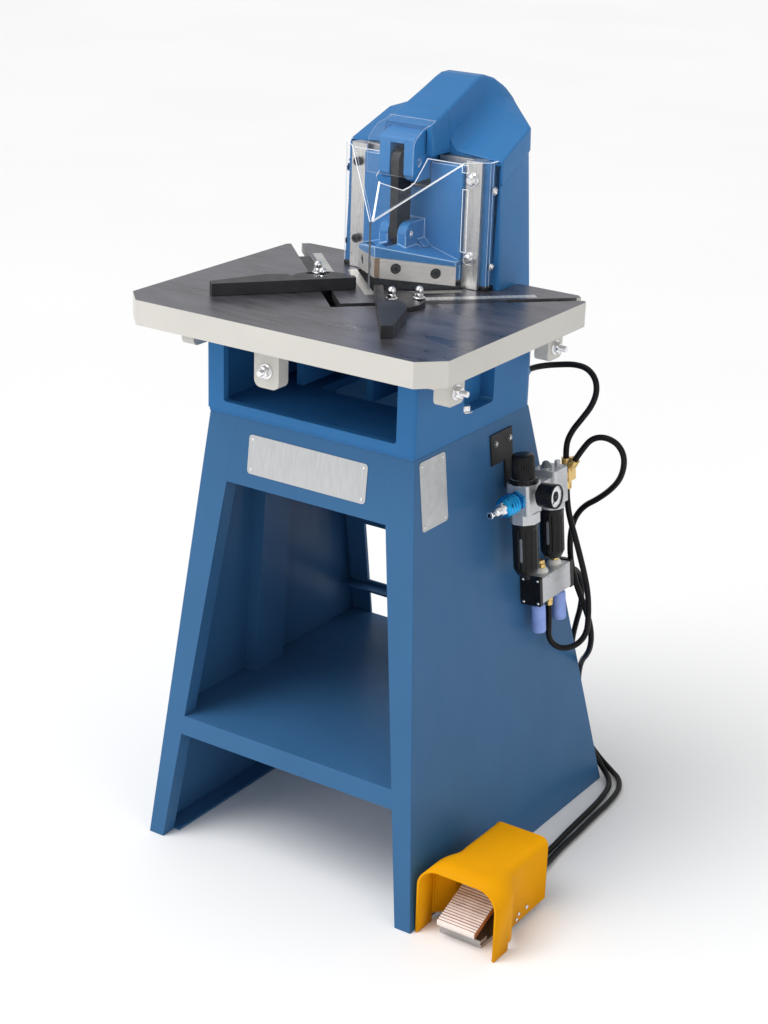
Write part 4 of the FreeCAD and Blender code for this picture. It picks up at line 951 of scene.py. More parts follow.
def pane(side):
    """Bent sheet: its plan runs from the V to the bend and along the wing, and its top edge
    rises by 89 over the first 145 millimetres of that run.  A share of the top edge and a
    narrow line down each of two folds have the glowing edge finish: a painted highlight."""
    foot, front, rise, rise_run = 947, 1054, 89, 145.27
    outer = bent((0, 24), (105, 124.4), (137, 155), (137, 174), 9)
    inner = bent((0, 29.53), (102.2, 127.25), (133, 156.7), (133, 174), 5)
    run = np.concatenate([[0], np.cumsum(np.linalg.norm(np.diff(outer, axis=0), axis=1))])
    top = front + rise * np.clip(run / rise_run, 0, 1)
    low_out, top_out, top_in, low_in = [
        np.column_stack([side * plan[:, 0], plan[:, 1], z])
        for plan, z in ((outer, 0 * top + foot), (outer, top), (inner, top), (inner, 0 * top + foot))]
    # The bright share of the top edge has the glowing edge finish: a painted highlight.
    bright = 0.8 if side > 0 else 0.35
    part = top_out * (1 - bright) + top_in * bright
    shells = [strip(low_out, top_out, 0), strip(top_out, part, 1), strip(part, top_in, 0),
              strip(top_in, low_in, 0), strip(low_in, low_out, 0)]
    # The V's end has the joint finish, a faint painted glow.
    for column, finish in ((0, 2), (-1, 0)):
        shells.append(strip([low_out[column], top_out[column], part[column]],
                            [low_in[column], top_in[column], part[column]], finish))
    # A narrow strip with the glowing edge finish down each of two folds: a painted highlight.
    for fold in (3, 9):
        edge = np.array([low_out[fold], top_out[fold]]) + (side * 0.15, 0.15, 0)
        shells.append(strip(edge, edge + (side * -0.15, 0.9, 0), 1))
    return shells


def on_slope(outline):
    """Lifts a plan into the cover's plane: z = 1052.6 + 0.9103 x (y - 29.53)."""
    plan = np.array(outline, float)
    return np.column_stack([plan, 1052.6 + 0.9103 * (plan[:, 1] - 29.53)])


def cover():
    """Two flat sheets in the plane that rises to the back between the panes, cut out round
    the rocker, the joint between them and two spacer blocks at the right gib.  The joint and
    the blocks' rims have the glowing edge finish: a painted highlight."""
    thickness = (0, 1.75, -1.95)
    shells = sheet(on_slope([(0.2, 30.6), (101, 127), (36, 127), (36, 92), (31, 85), (23, 79),
                             (-25, 84)]), thickness)
    shells += sheet(on_slope([(-0.2, 30.6), (-25.6, 84), (-36, 92), (-36, 127), (-101, 127)]),
                    thickness)
    # The joint between the sheets has the glowing edge finish: a painted highlight.
    joint = on_slope([(0.3, 31.2), (2.6, 32.6), (-22.2, 84.4), (-24.9, 84.2)])
    shells += with_finish([drawn(joint, (0, -0.7, 0.8))], 1)
    for x0, z0, x1, z1 in ((95.5, 1126, 107, 1139), (98, 1002, 108.5, 1101)):
        face = np.array([(x0, 133.0, z0), (x1, 133.0, z0), (x1, 133.0, z1), (x0, 133.0, z1)])
        inner = face + np.array([(1, 0, 1), (-1, 0, 1), (-1, 0, -1), (1, 0, -1)]) * 0.9
        # Each block's rim has the glowing edge finish: a painted highlight.
        rim = [np.vstack([ring, ring[:1]]) - (0, 0.1, 0) for ring in (face, inner)]
        shells += [drawn(face, (0, 15.8, 0)), strip(*rim, 1)]
    return shells


def visor():
    """Clear strip bent over the rocker's nose: a path down from the head's front edge,
    carried from side to side, with its wall inside."""
    outside = rounded_corner([(137, 1198.6), (124, 1193.8), (103, 1190.5), (75.5, 1172),
                              (74.6, 1118)], (6, 16, 22), 7)
    inside = rounded_corner([(137.5, 1197.4), (124.3, 1192.5), (103.5, 1189.3), (76.8, 1171.3),
                             (75.9, 1118)], (7, 15, 20.8), 7)
    rows = [np.column_stack([0 * path[:, 0] + x, path])
            for path, x in ((outside, -42), (outside, 42), (inside, 42), (inside, -42))]
    # The strip's cut edges and ends have the joint finish, a faint painted glow.
    shells = [strip(rows[i], rows[(i + 1) % 4], i % 2) for i in range(4)]
    for end in (0, -1):
        a, b, c, d = (row[end] for row in rows)
        shells.append(strip([a, b], [d, c], 1))
    return shells


class NOTCHER_OT_shear(bpy.types.Operator):
    """Rounds the ram, its rocker, link and blades, and makes the pins and screws"""
    bl_idname = "notcher.shear"
    bl_label = "Shear"

    def execute(self, context):
        # The ram's rounded edges get the second finish, a lighter blue: a painted highlight along the
        # edges.
        both = [FINISH["blue_ram"], FINISH["blue_worn"]]
        softened("ram", 1.2, both, "blue_cast", long_edges(8), 34.0, 2, rounds=1, clamp=False)
        softened("rocker", 2.0, both, "blue_cast", long_edges(12), 34.0, 3)
        softened("link", 0.9, FINISH["black_steel"], "black_steel", long_edges(1), 60.0)
        steel = FINISH["blade_steel"]
        left = softened("upper_blade_left", 0.4, [steel, FINISH["tan_steel"]], "blade_steel",
                        long_edges(6), whole=False)
        self.mark_mitre(left.data)
        softened("upper_blade_right", 0.4, steel, "blade_steel", long_edges(6), whole=False)
        for name in ("gib_right", "gib_left"):
            softened(name, 1.1, FINISH["gib"], "ground_steel", long_edges(60))
        softened("slideway_plate", 0.6, FINISH["slide_steel"], "ground_steel", long_edges(60))
        self.blade_screws()
        self.gib_bolts()
        middle = (108.5, 1022.6)
        pin = [turned(rounded(7.9, 52, 1.2), (-26, *middle), (1, 0, 0), 32)]
        pin += [turned(rounded(5.2, 1.4, 0.6), (side * 26, *middle), (side, 0, 0), 28)
                for side in (-1, 1)]
        stands_for(piece("clevis_pin_turned", pin, FINISH["bright_steel"], "ram"), "bright_steel",
                   "clevis_pin")
        return {"FINISHED"}

    def mark_mitre(self, mesh):
        """Gives the second finish to the faces that look along the blade: those for which
        (normal x - normal y) / root 2 is nearly one."""
        normals = np.empty(3 * len(mesh.polygons), np.float32)
        mesh.polygons.foreach_get("normal", normals)
        x, y, _ = normals.reshape(-1, 3).T
        mesh.polygons.foreach_set("material_index", ((x - y) / R2 > 0.98).astype(np.int32))

    def blade_screws(self):
        """Two sunk socket screws in each blade, at a distance along it from the V's tip."""
        screws = []
        for side in (-1, 1):
            for along, z in ((30, 976), (94, 967)):
                c = (along + 4.5) / R2
                way = np.array([side / R2, -1 / R2, 0.0])
                spot = np.array([side * c, VERTEX_Y + c, z]) - way * 5.2
                screws.append(socket_head(spot, way, 8.2, 4.9, 6.0))
        heads = piece("blade_screw_heads", screws, FINISH["black_steel"], "ram")
        stands_for(heads, "black_steel", "blade_screws")

    def gib_bolts(self):
        """Socket screws on the left gib, and washers, nuts and bare thread on the right one."""
        out = (0, -1, 0)
        bolts = []
        for z in (989, 1114):
            bolts.append(socket_head((-107, 149, z), out, 7.0, 7.4, 6.0))
            bolts += with_finish([washer((107, 149, z), out, 10.6, 2.0),
                                  nut((107, 147.0, z), out, 16.0, 7.5),
                                  threaded((107, 139.8, z), out, 5.0, 3.5),
                                  washer((107, 139.5, z), out, 6.8, 1.2)], 1)
        finish = [FINISH["black_steel"], FINISH["bright_steel"]]
        stands_for(piece("gib_bolt_heads", bolts, finish, "base"), "bright_steel", "gib_bolts")


# Pivot of each fence in plan, and the side of the middle plane that it lies on.
FENCE_PIVOTS = {"left": (-87.0, 25.0, -1), "right": (60.5, 0.5, 1)}
DOME_NUT = [(0, 0), (6.2, 0), (6.3, 1.0), (6.3, 5.0), (5.7, 7.8), (4.3, 9.9), (2.3, 11.1), (0, 11.3)]


class NOTCHER_OT_table_fittings(bpy.types.Operator):
    """Rounds the fences and their slides, and makes the studs, dome nuts and levelling screws"""
    bl_idname = "notcher.table_fittings"
    bl_label = "Table fittings"

    def execute(self, context):
        black = FINISH["black_steel"]
        for which, (x, y, side) in FENCE_PIVOTS.items():
            softened("fence_" + which, 0.8, black, "black_steel", long_edges(8), 40.0)
            softened("fence_slide_" + which, 0.4, black, "black_steel", long_edges(10))
            shells = []
            for along in (0.0, 43.0):
                spot = np.array([x + side * along / R2, y + along / R2, 0.0])
                shells += [threaded(spot + (0, 0, 939.6), UP, 3.9, 12.0),
                           washer(spot + (0, 0, 948.3), UP, 9.5, 1.6),
                           nut(spot + (0, 0, 949.9), UP, 13.0, 6.4),
                           turned(DOME_NUT, spot + (0, 0, 956.2), UP, 32)]
            studs = piece("dome_nuts_" + which, shells, FINISH["bright_steel"], "fence_slide_" + which)
            stands_for(studs, "bright_steel", "fence_studs_" + which)
        softened("scale_strips", 0.15, FINISH["scale"], "scale", long_edges(60))
        stands_for(piece("levelling_bolts", levelling(), FINISH["bright_steel"], "base"),
                   "bright_steel", "levelling_screws")
        return {"FINISHED"}


def levelling():
    """Bolt, washer, lock nut and bare thread at each lug, and the two bolts in the pockets."""
    shells = []
    spots = [((-38, -186, 858), (0, -1, 0), 8.0), ((-251, -100, 866), (-1, 0, 0), 11.0),
             ((251, -112, 866), (1, 0, 0), 11.0), ((251, 180, 866), (1, 0, 0), 11.0),
             ((-251, 180, 866), (-1, 0, 0), 11.0)]
    for spot, way, bare in spots:
        spot, out = np.array(spot, float), np.array(way, float)
        inside, length = (55, 32.0) if way[0] else (28, 4.5)
        shells += [washer(spot, out, 12.2, 1.8), nut(spot + out * 1.8, out, 17.0, 8.0),
                   threaded(spot + out * 9.6, out, 4.9, bare),
                   threaded(spot - out * inside, out, 4.9, length)]
    for side in (-1, 1):
        shells += [washer((side * 185, 22, 788), UP, 13.6, 1.8),
                   nut((side * 185, 22, 789.8), UP, 19.0, 9.0)]
    return shells


def on_air_unit(name, shells, finish, slot, *nodes, body="base"):
    """A piece of the air unit, which leans with the stand's right panel."""
    return stands_for(piece(name, shells, finish, body, place=leaned), slot, *nodes)


def sight_window(y, low, r):
    """Narrow raised window down the front of a bowl: points at (angle, height) on a cylinder,
    whose first and last rows are drawn in towards the middle, with a wall behind."""
    a = np.radians(np.linspace(-86, -74, 5))
    pinch = np.array([0.35, 1.0, 1.0, 0.35])
    turn = a.mean() + (a - a.mean())[None, :] * pinch[:, None]
    height = low + np.array([26.0, 28.0, 64.0, 66.0])
    round_way = np.stack([np.cos(turn), np.sin(turn), 0 * turn], -1)
    axis = np.stack([0 * turn + AIR_X, 0 * turn + y, np.repeat(height[:, None], 5, 1)], -1)
    outer = axis + (r + 0.5) * round_way
    inner = axis + (r - 1.1) * round_way
    shells = with_finish([grid(outer), grid(inner)], 1)
    for edge in ((outer[0], inner[0]), (outer[-1], inner[-1]), (outer[:, 0], inner[:, 0]),
                 (outer[:, -1], inner[:, -1])):
        shells.append(strip(*edge, 1))
    return shells


class NOTCHER_OT_air_unit(bpy.types.Operator):
    """Makes the regulator, its knob, bowls and gauge, the lubricator, coupling, valve and mufflers"""
    bl_idname = "notcher.air_unit"
    bl_label = "Air unit"

    def execute(self, context):
        zinc, black = FINISH["zinc"], FINISH["black_plastic"]
        for node, width, finish, slot in (("regulator_body", 1.0, zinc, "zinc_cast"),
                                          ("lubricator_body", 1.0, zinc, "zinc_cast"),
                                          ("outlet_cross", 0.7, FINISH["brass"], "brass"),
                                          ("valve_body", 0.8, FINISH["alu"], "alu"),
                                          ("air_bracket", 0.6, FINISH["black_paint"], "black_steel"),
                                          ("valve_end_caps", 0.5, black, "black_plastic")):
            softened(node, width, finish, slot, long_edges(3), 50.0)
        self.knob()
        self.bowls()
        self.gauge()
        self.coupling()
        x = PANEL_X + 20.5
        self.valve_ports(x)
        self.mufflers(x)
        self.screws(x)
        self.lubricator_top()
        return {"FINISHED"}

    def knob(self):
        """Collar with its bright ring, and the ribbed knob on it."""
        black = FINISH["black_plastic"]
        spot = (AIR_X, 118, 0)
        ring = [turned([(20.5, 657.4), (23.6, 657.4), (24.1, 658.2), (23.7, 661.2), (23.3, 664.2),
                        (22.6, 665.0), (20.5, 665.0)], spot, UP, 48)]
        ring += with_finish([turned([(22.0, 655.6), (23.2, 655.6), (23.5, 656.2), (23.2, 657.3),
                                     (22.0, 657.3)], spot, UP, 48)], 1)
        on_air_unit("knob_collar", ring, [black, FINISH["zinc"]], "black_plastic")
        profile = [(0, 0), (19.0, 0), (19.4, 0.6), (19.4, 2.6), (18.9, 3.4), (18.8, 5.2),
                   (18.6, 20.0), (18.2, 33.5), (17.4, 36.2), (15.6, 38.0), (12.6, 38.7), (0, 39.0)]
        knob = [turned(profile, (AIR_X, 118, 665.3), UP, 216, ribbed(27, 0.9, 3.4, 35.5))]
        on_air_unit("knob_ribbed", knob, black, "black_plastic", "regulator_knob",
                    body="regulator_knob")

    def bowls(self):
        """Fluted bowls with their sight windows, and the first one's drain and screw."""
        shells = []
        for y, low, r in ((118, 503, 20.9), (203, 506, 19.9)):
            high = 591.8 - low
            profile = [(0, 0), (r - 7, 0), (r - 5.5, 0.8), (r - 1.2, 9.0), (r, 12.0), (r, 15.0),
                       (r, high - 12), (r, high - 9), (r + 0.4, high - 8), (r + 0.4, high), (0, high)]
            shells.append(turned(profile, (AIR_X, y, low), UP, 168, ribbed(14, 1.1, 13.0, high - 10)))
            shells += sight_window(y, low, r)
        shells.append(turned(rounded(4.6, 9.5, 0.8), (AIR_X, 118, 494), UP, 24))
        screw = turned(rounded(1.8, 1.2, 0.5), (AIR_X + 8, 98.6 + 3.2, 516), (0, -1, 0), 16)
        shells += with_finish([screw], 2)
        finish = [FINISH["black_plastic"], FINISH["sight"], FINISH["bright_steel"]]
        on_air_unit("bowls_fluted", shells, finish, "black_plastic", "bowls")

    def gauge(self):
        """Case, bezel, dial with its ticks and clear lens."""
        out = (1, 0, 0)
        axis = (AIR_X + 23, 118, 641)
        case = [turned([(0, 0), (6, 0), (6, 7.5), (18.4, 7.8), (19.4, 8.8), (19.4, 30), (20.0, 30.6),
                        (20.0, 36.2), (19.4, 37.0), (17.9, 37.0), (17.4, 36.4), (17.4, 34.0),
                        (0, 34.0)], axis, out, 56)]
        dial = turned([(0, 34.05), (17.35, 34.05), (17.35, 34.2), (0, 34.2)], axis, out, 56)
        case += with_finish([dial], 1)
        middle = np.array(axis, float) + (34.25, 0, 0)
        for i, a in enumerate(np.radians(np.linspace(-45, 225, 31))):
            long, wide = (2.2, 0.18) if i % 5 == 0 else (1.1, 0.08)
            radial = np.array([0, math.cos(a), math.sin(a)])
            half = np.array([0, -math.sin(a), math.cos(a)]) * wide
            inner, outer = middle + radial * (16.3 - long), middle + radial * 16.3
            tick = drawn([inner - half, outer - half, outer + half, inner + half], (0.12, 0, 0))
            case += with_finish([tick], 2)
        hub = turned([(0, 34.2), (1.2, 34.2), (1.2, 35.4), (0, 35.4)], axis, out, 20)
        case += with_finish([hub], 2)
        finish = [FINISH["black_plastic"], FINISH["dial"], FINISH["ink"]]
        on_air_unit("gauge_body", case, finish, "black_plastic", "gauge_case")
        lens = [turned([(0, 36.3), (17.2, 36.3), (17.2, 36.7), (0, 37.0)], axis, out, 48)]
        on_air_unit("gauge_lens", lens, FINISH["clear"], "clear_guard")

    def coupling(self):
        """Quick coupling: blue body with its flange and six-sided back end, the ribbed sleeve,
        and the plated nipple."""
        back = (0, 1, 0)
        spot = (AIR_X, 52, 633)
        body = [turned([(0, 0), (11.4, 0), (13.6, 0.6), (14.2, 1.6), (14.2, 3.0), (15.5, 3.6),
                        (15.5, 6.6), (14.9, 7.2), (11, 7.2), (11, 37.0), (14.6, 37.1), (14.8, 37.4),
                        (14.8, 37.9), (0, 37.9)], spot, back, 48),
                turned([(0, 37.6), (17.0, 37.6), (17.0, 44.0), (0, 44.0)], spot, back, 48,
                       hexed(29.0))]
        ring = turned([(11, 7.25), (15.0, 7.25), (15.0, 7.9), (11, 7.9)], spot, back, 40)
        body += with_finish([ring], 1)
        blue, bright = FINISH["blue_anodised"], FINISH["bright_steel"]
        on_air_unit("coupling_body", body, [blue, bright], "blue_anodised", "inlet_coupling")
        rings = [(11.1, 0.2)]
        for low in (1.0, 9.0, 17.0):
            rings += [(14.9, low - 0.6), (16.3, low), (17.0, low + 0.9), (17.0, low + 3.6),
                      (16.3, low + 4.5), (14.9, low + 5.1)]
        rings.append((11.1, 23.8))
        sleeve = [turned(rings, (AIR_X, 60, 633), back, 144, ribbed(36, 0.35, 0.5, 23.5))]
        on_air_unit("sleeve_ribbed", sleeve, blue, "blue_anodised", "inlet_sleeve",
                    body="inlet_sleeve")
        plug = [turned([(3.4, 0), (5.2, 0), (6.0, 1.0), (6.0, 9.4), (5.6, 10.0), (4.8, 11.0),
                        (4.8, 16.0), (6.6, 18.0), (7.0, 18.6), (7.0, 29.0), (7.6, 29.6), (7.6, 31.0),
                        (6.4, 31.6), (6.4, 32.1), (3.4, 32.1)], (AIR_X, 12, 633), back, 40),
                nut((AIR_X, 51.9, 633), (0, -1, 0), 19.0, 7.8, 3.4)]
        on_air_unit("nipple_plug", plug, bright, "bright_steel", "inlet_nipple")

    def valve_ports(self, x):
        """Two fittings with pale collars on the valve, and one below and one behind it."""
        fit = []
        for y in (201, 245):
            collar = turned([(0, 475.6), (11.6, 475.6), (12.0, 476.4), (12.0, 478.6), (10.6, 481.4),
                             (8.6, 484.2), (0, 484.2)], (x, y, 0), UP, 40)
            fit += with_finish([collar], 1)
            fit += [nut((x, y, 484), UP, 14.0, 7.0),
                    turned([(0, 491), (5.6, 491), (6.4, 492), (6.4, 495), (5.9, 497), (3.2, 497),
                            (3.2, 493.5), (0, 493.5)], (x, y, 0), UP, 32)]
        fit += [nut((x, 223, 431), (0, 0, -1), 14.0, 12.0),
                turned(rounded(6.9, 8.0, 0.8), (x, 223, 411), UP, 28),
                nut((x - 10, 275.8, 440.5), (0, 1, 0), 13.0, 8.0),
                turned(rounded(6.4, 6.0, 0.7), (x - 10, 283, 440.5), (0, 1, 0), 28)]
        on_air_unit("valve_ports", fit, [FINISH["brass"], FINISH["white_plastic"]], "brass",
                    "valve_fittings")

    def mufflers(self, x):
        """Two porous plastic mufflers, finely fluted."""
        profile = [(0, 0), (8.2, 0), (9.9, 0.7), (11.1, 2.2), (11.5, 4.2), (11.5, 8.0), (11.5, 43.0),
                   (11.5, 46.0), (10.6, 48.6), (8.4, 50.0), (7.0, 50.4), (7.0, 57.0), (0, 57.0)]
        cans = [turned(profile, (x, y, 374), UP, 96, ribbed(24, 0.25, 6.0, 45.0)) for y in (189, 257)]
        on_air_unit("muffler_cans", cans, FINISH["muffler"], "muffler_plastic", "mufflers")

    def screws(self, x):
        """Small screws of the valve's ends and front, and the bracket's two with their washers."""
        out = (1, 0, 0)
        heads = []
        for y, way in ((165, -1), (276, 1)):
            for dx in (-13.5, 13.5):
                for dz in (-19.5, 19.5):
                    heads.append(dome_head((x + dx, y, 453.5 + dz), (0, way, 0), 2.5, 1.6, 1.6))
        for y in (196, 250):
            heads.append(dome_head((PANEL_X + 38, y, 470), out, 2.2, 1.4, 1.4))
        for y in (102, 145):
            heads += [washer((PANEL_X + 3, y, 719), out, 4.8, 0.8),
                      dome_head((PANEL_X + 3.8, y, 719), out, 4.0, 2.4, 2.4)]
        on_air_unit("air_screws", heads, FINISH["bright_steel"], "bright_steel")

    def lubricator_top(self):
        """Sight dome on its knurled ring, and the filler plug."""
        glass = [turned([(0, 0), (6.6, 0), (6.6, 2.4), (5.6, 5.2), (3.4, 7.0), (0, 7.8)],
                        (AIR_X - 4, 196, 662.9), UP, 32),
                 turned([(0, 0), (9.6, 0), (9.6, 1.6), (8.8, 2.4), (0, 2.4)],
                        (AIR_X - 4, 196, 660.6), UP, 60, ribbed(20, 0.5, -2, 9))]
        plug = turned([(0, 0), (4.4, 0), (4.8, 0.8), (4.8, 6.0), (4.2, 6.8), (0, 6.8)],
                      (AIR_X + 8, 212, 661.6), UP, 60, ribbed(15, 0.4, 0.5, 6.4))
        glass += with_finish([plug], 1)
        on_air_unit("lubricator_top", glass, [FINISH["sight"], FINISH["zinc"]], "zinc_cast")


def on_front(points):
    """Lays a plate's (across, out, up) points on the stand's front panel:
    y = slope x up - foot - out."""
    across_x, out, z = points.T
    return np.column_stack([across_x, -FRONT_FOOT + FRONT_SLOPE * z - out, z])


def on_side(points):
    """Lays a plate's (along, out, up) points on the stand's right panel:
    x = foot - slope x up + out."""
    along_y, out, z = points.T
    return np.column_stack([SIDE_FOOT - SIDE_SLOPE * z + out, along_y, z])


class NOTCHER_OT_plates(bpy.types.Operator):
    """Fits the plain plates on the stand, each a thin sheet with round corners and four rivets"""
    bl_idname = "notcher.plates"
    bl_label = "Plain plates"

    def execute(self, context):
        corner, gap, thickness, inset = 6, 0.1, 0.9, 7
        finish = [FINISH["plate"], FINISH["bright_steel"]]
        for name, place, x0, x1, z0, z1 in (("front_plate", on_front, -112.0, 112.0, 664.0, 727.0),
                                            ("side_plate", on_side, -114.0, -42.0, 634.0, 743.0)):
            middle = (x0 + x1) / 2
            outline = rounded_corner([(middle, z0), (x1, z0), (x1, z1), (x0, z1), (x0, z0),
                                      (middle, z0)], (corner,) * 4, 5)[:-1]
            ring = np.column_stack([outline[:, 0], 0 * outline[:, 0] + gap, outline[:, 1]])
            rivets = [dome_head((x, gap + thickness, z), (0, 1, 0), 2.4, 1.1)
                      for x in (x0 + inset, x1 - inset) for z in (z0 + inset, z1 - inset)]
            shells = [drawn(ring, (0, thickness, 0)), *with_finish(rivets, 1)]
            stands_for(piece(name, shells, finish, "base", place=place), "ground_steel")
        return {"FINISHED"}


def raised_wall(points):
    """Lifts the foot of the tray's right wall off the floor, behind the hood's edge."""
    foot = 10.0
    wall = (points[:, 0] > PEDAL_X + 36.5) & (points[:, 2] < foot)
    points[wall, 2] = foot
    return points


class NOTCHER_OT_pedal(bpy.types.Operator):
    """Makes the pedal's flowing guard, its ribbed tread and the screws and glands"""
    bl_idname = "notcher.pedal"
    bl_label = "Pedal"

    def execute(self, context):
        guard = piece("pedal_hood", pedal_hood(), FINISH["pedal"], "base", smooth=50.0)
        stands_for(walled(guard, 3.8), "pedal_paint", "pedal_guard")
        softened("pedal_base", 0.8, FINISH["tray"], "black_steel", long_edges(5), 50.0,
                 shrink=raised_wall)
        finish = [FINISH["tread"], FINISH["tread_side"], FINISH["tread_groove"]]
        stands_for(piece("tread_ribbed", tread(), finish, "pedal_tread", smooth=40.0), "tread",
                   "pedal_tread")
        shells = [turned(rounded(3.9, 82, 0.6), (PEDAL_X - 42.7, *TREAD_AXLE), (1, 0, 0), 28)]
        shells += [dome_head((PEDAL_X + 52, y, z), (1, 0, 0), r, 3.0, 0.5 * r) for y, z, r in
                   ((-61, 25.5, 3.6), (-86, 25.5, 3.2), (-92, 18, 3.2))]
        gland = [(0, 0), (8.4, 0), (8.4, 3.0), (7.4, 3.8), (6.4, 8.0), (0, 8.0)]
        shells += with_finish([turned(gland, (PEDAL_X + dx, 0, 28), (0, 1, 0), 36, hexed(15.5))
                               for dx in (-8, 10)], 1)
        finish = [FINISH["bright_steel"], FINISH["black_plastic"]]
        stands_for(piece("pedal_screws", shells, finish, "base"), "bright_steel", "pedal_axle")
        return {"FINISHED"}


# Sections of the pedal's guard: y, left and right half widths, height of the bottom edge,
# radius of the shoulder and height of the top.  Then the tread's axle at (y, z).
PEDAL_STATIONS = (
    (-192.0, 72, 72, 0, 36, 121), (-150.2, 72, 72, 0, 36, 121), (-150.0, 72, 72, 13, 36, 121),
    (-143.0, 71.2, 71.2, 12, 35, 121), (-136.0, 68.6, 69.2, 11, 33, 121),
    (-128.0, 63.6, 65.4, 10, 30, 121), (-119.0, 56.0, 59.6, 10, 25, 121),
    (-111.0, 50.4, 55.0, 10, 20, 121), (-103.0, 47.6, 52.6, 10, 16, 121),
    (-96.0, 47, 52, 10, 14, 121), (0.0, 47, 52, 10, 14, 121))
TREAD_AXLE = (-60, 54)


def pedal_hood():
    """Each section is a wall, a round shoulder, the flat top, a shoulder and a wall.  At the
    back the last one is drawn in towards the middle, by a little just before its end and by
    more at its end, and that ring is then joined to its own shadow on the level of the
    bottom edge, which closes the back."""
    table = np.asarray(PEDAL_STATIONS, float)
    y = np.unique(np.concatenate([table[:, 0], np.linspace(-149, -96, 27)]))
    sections = []
    for place, left, right, low, radius, top in between(table, y):
        path = [(-left, low), (-left, top), (right, top), (right, low)]
        arc = rounded_corner(path, (radius, radius), 10)
        sections.append(np.column_stack([PEDAL_X + arc[:, 0], 0 * arc[:, 0] + place, arc[:, 1]]))
    last = sections.pop()
    way = last - (PEDAL_X + 2.5, 0.0, 66.0)
    way /= np.linalg.norm(way, axis=1)[:, None]
    near, end = last - 0.7 * way, last - 2.2 * way
    near[:, 1] = -0.6
    shadow = end.copy()
    shadow[:, 2] = last[:, 2].min()
    shadow[:, 0] = np.clip(end[:, 0], PEDAL_X - 44, PEDAL_X + 49)
    return [grid(np.stack([*sections, near, last, end, shadow]))]


def tread():
    """Ribbed plate: its upper line rises from the nose to the back, with 18 ribs whose height
    follows the upper part of a sine, and the foot of each rib has the finish of a groove.
    Below it lies a straight line, and the sides close the plate between the two."""
    def at_sides(line):
        line = np.asarray(line, float)
        return [np.column_stack([0 * line[:, 0] + x, line]) for x in (PEDAL_X - 36, PEDAL_X + 32)]

    front, back = (-184.0, 22.3), (-98.0, 57.0)
    run = np.linspace(0, 1, 185)
    lift = 1.3 * np.clip(np.sin(run * 2 * math.pi * 18) * 1.6 + 0.9, 0, 1)
    top = np.column_stack([-186 + 86 * run, 31 + 35 * run]) + lift[:, None] * (-0.377, 0.926)
    nose = [(-184.6, 22.3), (-186.0, 23.6), (-186.6, 27.0), (-186.4, 30.0)]
    heel = [(-99.0, 66.2), (-44.6, 66.2), (-44.0, 65.6), (-44.0, 58.4), (-98, 57.0)]
    left, right = at_sides(np.vstack([nose, top, heel]))
    low = np.concatenate([np.zeros(len(nose), bool), lift < 0.35, np.zeros(len(heel), bool)])
    shells = [strip(left, right, np.where(low[:-1] & low[1:], 2, 0)),
              strip(*at_sides([nose[0], front, back]), 1)]
    for ring in (left, right):
        y = ring[:, 1].clip(front[0], back[0])
        foot = np.column_stack([ring[:, 0], y, np.interp(y, *zip(front, back))])
        shells.append(strip(ring, foot, 1))
    barrel = turned(rounded(8.8, 68, 0.8), (PEDAL_X - 36, *TREAD_AXLE), (1, 0, 0), 36)
    return shells + with_finish([barrel], 1)


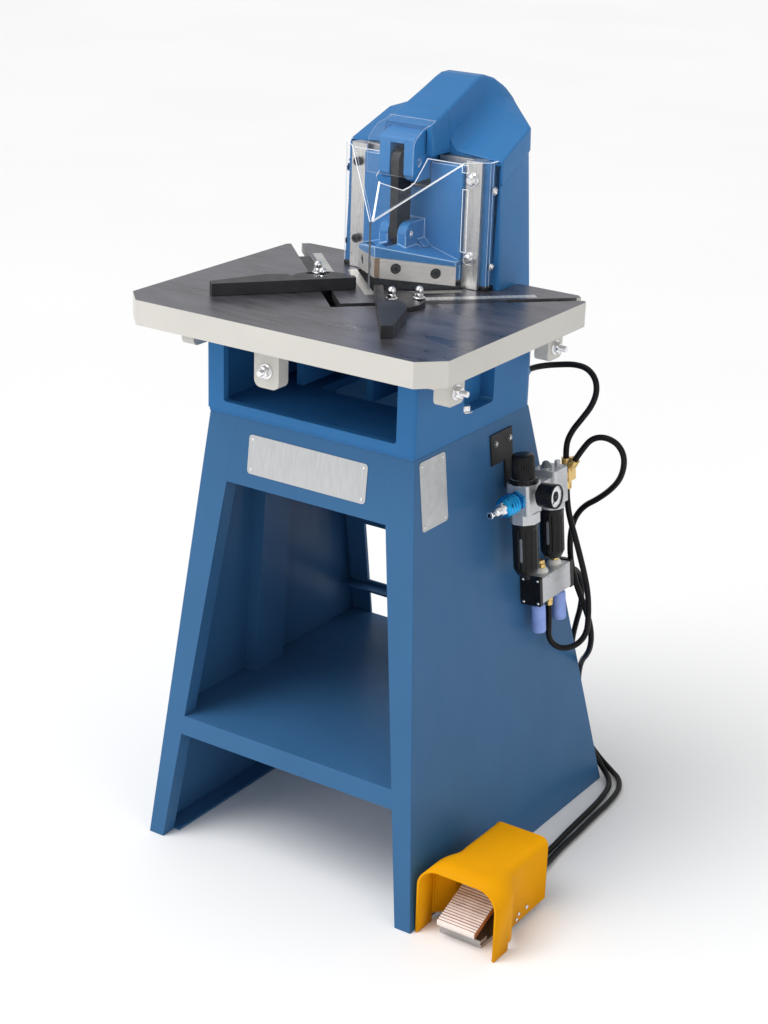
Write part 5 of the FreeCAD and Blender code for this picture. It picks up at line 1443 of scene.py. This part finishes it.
class NOTCHER_OT_stage(bpy.types.Operator):
    """Sets the pale floor, the plain surroundings and the soft studio lights"""
    bl_idname = "notcher.stage"
    bl_label = "Stage"

    def execute(self, context):
        scene = context.scene
        half, drop = 60, 0.0006
        x, y = np.meshgrid((-half, 0, half), (-half, 0, half))
        points, faces = grid(np.stack([x, y, 0 * x - drop], -1))
        mesh = bpy.data.meshes.new("floor")
        mesh.from_pydata(points.tolist(), [], faces.tolist())
        t = Tree("floor_finish")
        cloud = t.spread(t.noise(0.8, 2.0), 0.3, 0.7, 0, 1)
        t.set(Base_Color=t.mix(cloud, (0.925, 0.925, 0.925), (0.95, 0.95, 0.95)), Roughness=0.7)
        mesh.materials.append(t.material)
        floor = bpy.data.objects.new("floor", mesh)
        scene.collection.objects.link(floor)
        world = bpy.data.worlds.new("studio")
        world.use_nodes = True
        surroundings = world.node_tree.nodes["Background"]
        surroundings.inputs["Color"].default_value = (1.0, 1.0, 1.0, 1.0)
        surroundings.inputs["Strength"].default_value = 0.60
        scene.world = world
        scene.view_settings.view_transform = "Standard"
        sun = bpy.data.lights.new("sky", "SUN")
        sun.energy = 1.6
        sun.angle = math.radians(38)
        self.aim(context, sun, Vector((0.0, 0.0, 0.0)), Vector((0.45, 0.75, -1.55)))
        middle = Vector((0.0, 0.0, 0.75))
        for name, spot, width, power in (("key", Vector((-1.6, -3.0, 2.2)), 2.0, 26.0),
                                         ("fill", Vector((3.4, -1.6, 1.9)), 1.8, 14.0)):
            lamp = bpy.data.lights.new(name, "AREA")
            lamp.shape = "DISK"
            lamp.size = width
            lamp.energy = power
            self.aim(context, lamp, spot, middle - spot)
        return {"FINISHED"}

    def aim(self, context, lamp, spot, way):
        """Stands a lamp at a spot, turned to shine along a direction."""
        thing = bpy.data.objects.new(lamp.name, lamp)
        thing.matrix_world = Matrix.Translation(spot) @ way.to_track_quat("-Z", "Y").to_matrix().to_4x4()
        context.scene.collection.objects.link(thing)


class NOTCHER_PT_panel(bpy.types.Panel):
    """Lists the steps that dress the machine"""
    bl_idname = "NOTCHER_PT_panel"
    bl_label = "Corner Notcher"
    bl_space_type = "VIEW_3D"
    bl_region_type = "UI"
    bl_category = "Notcher"

    def draw(self, context):
        for group in (context.scene.notcher_sizes, context.scene.notcher_colours):
            for key in group.__annotations__:
                self.layout.prop(group, key)
        for step in STEPS:
            self.layout.operator(step.bl_idname)


STEPS = [NOTCHER_OT_camera, NOTCHER_OT_finishes, NOTCHER_OT_hoses, NOTCHER_OT_castings,
         NOTCHER_OT_c_frame, NOTCHER_OT_guards, NOTCHER_OT_shear, NOTCHER_OT_table_fittings,
         NOTCHER_OT_air_unit, NOTCHER_OT_plates, NOTCHER_OT_pedal, NOTCHER_OT_stage]
CLASSES = [NotcherSizes, NotcherColours, *STEPS, NOTCHER_PT_panel]


def register():
    for item in CLASSES:
        bpy.utils.register_class(item)
    bpy.types.Scene.notcher_sizes = bpy.props.PointerProperty(type=NotcherSizes)
    bpy.types.Scene.notcher_colours = bpy.props.PointerProperty(type=NotcherColours)


def unregister():
    del bpy.types.Scene.notcher_sizes
    del bpy.types.Scene.notcher_colours
    for item in reversed(CLASSES):
        bpy.utils.unregister_class(item)


def main():
    register()
    for step in STEPS:
        group, name = step.bl_idname.split(".")
        getattr(getattr(bpy.ops, group), name)()


if __name__ == "__main__":
    main()
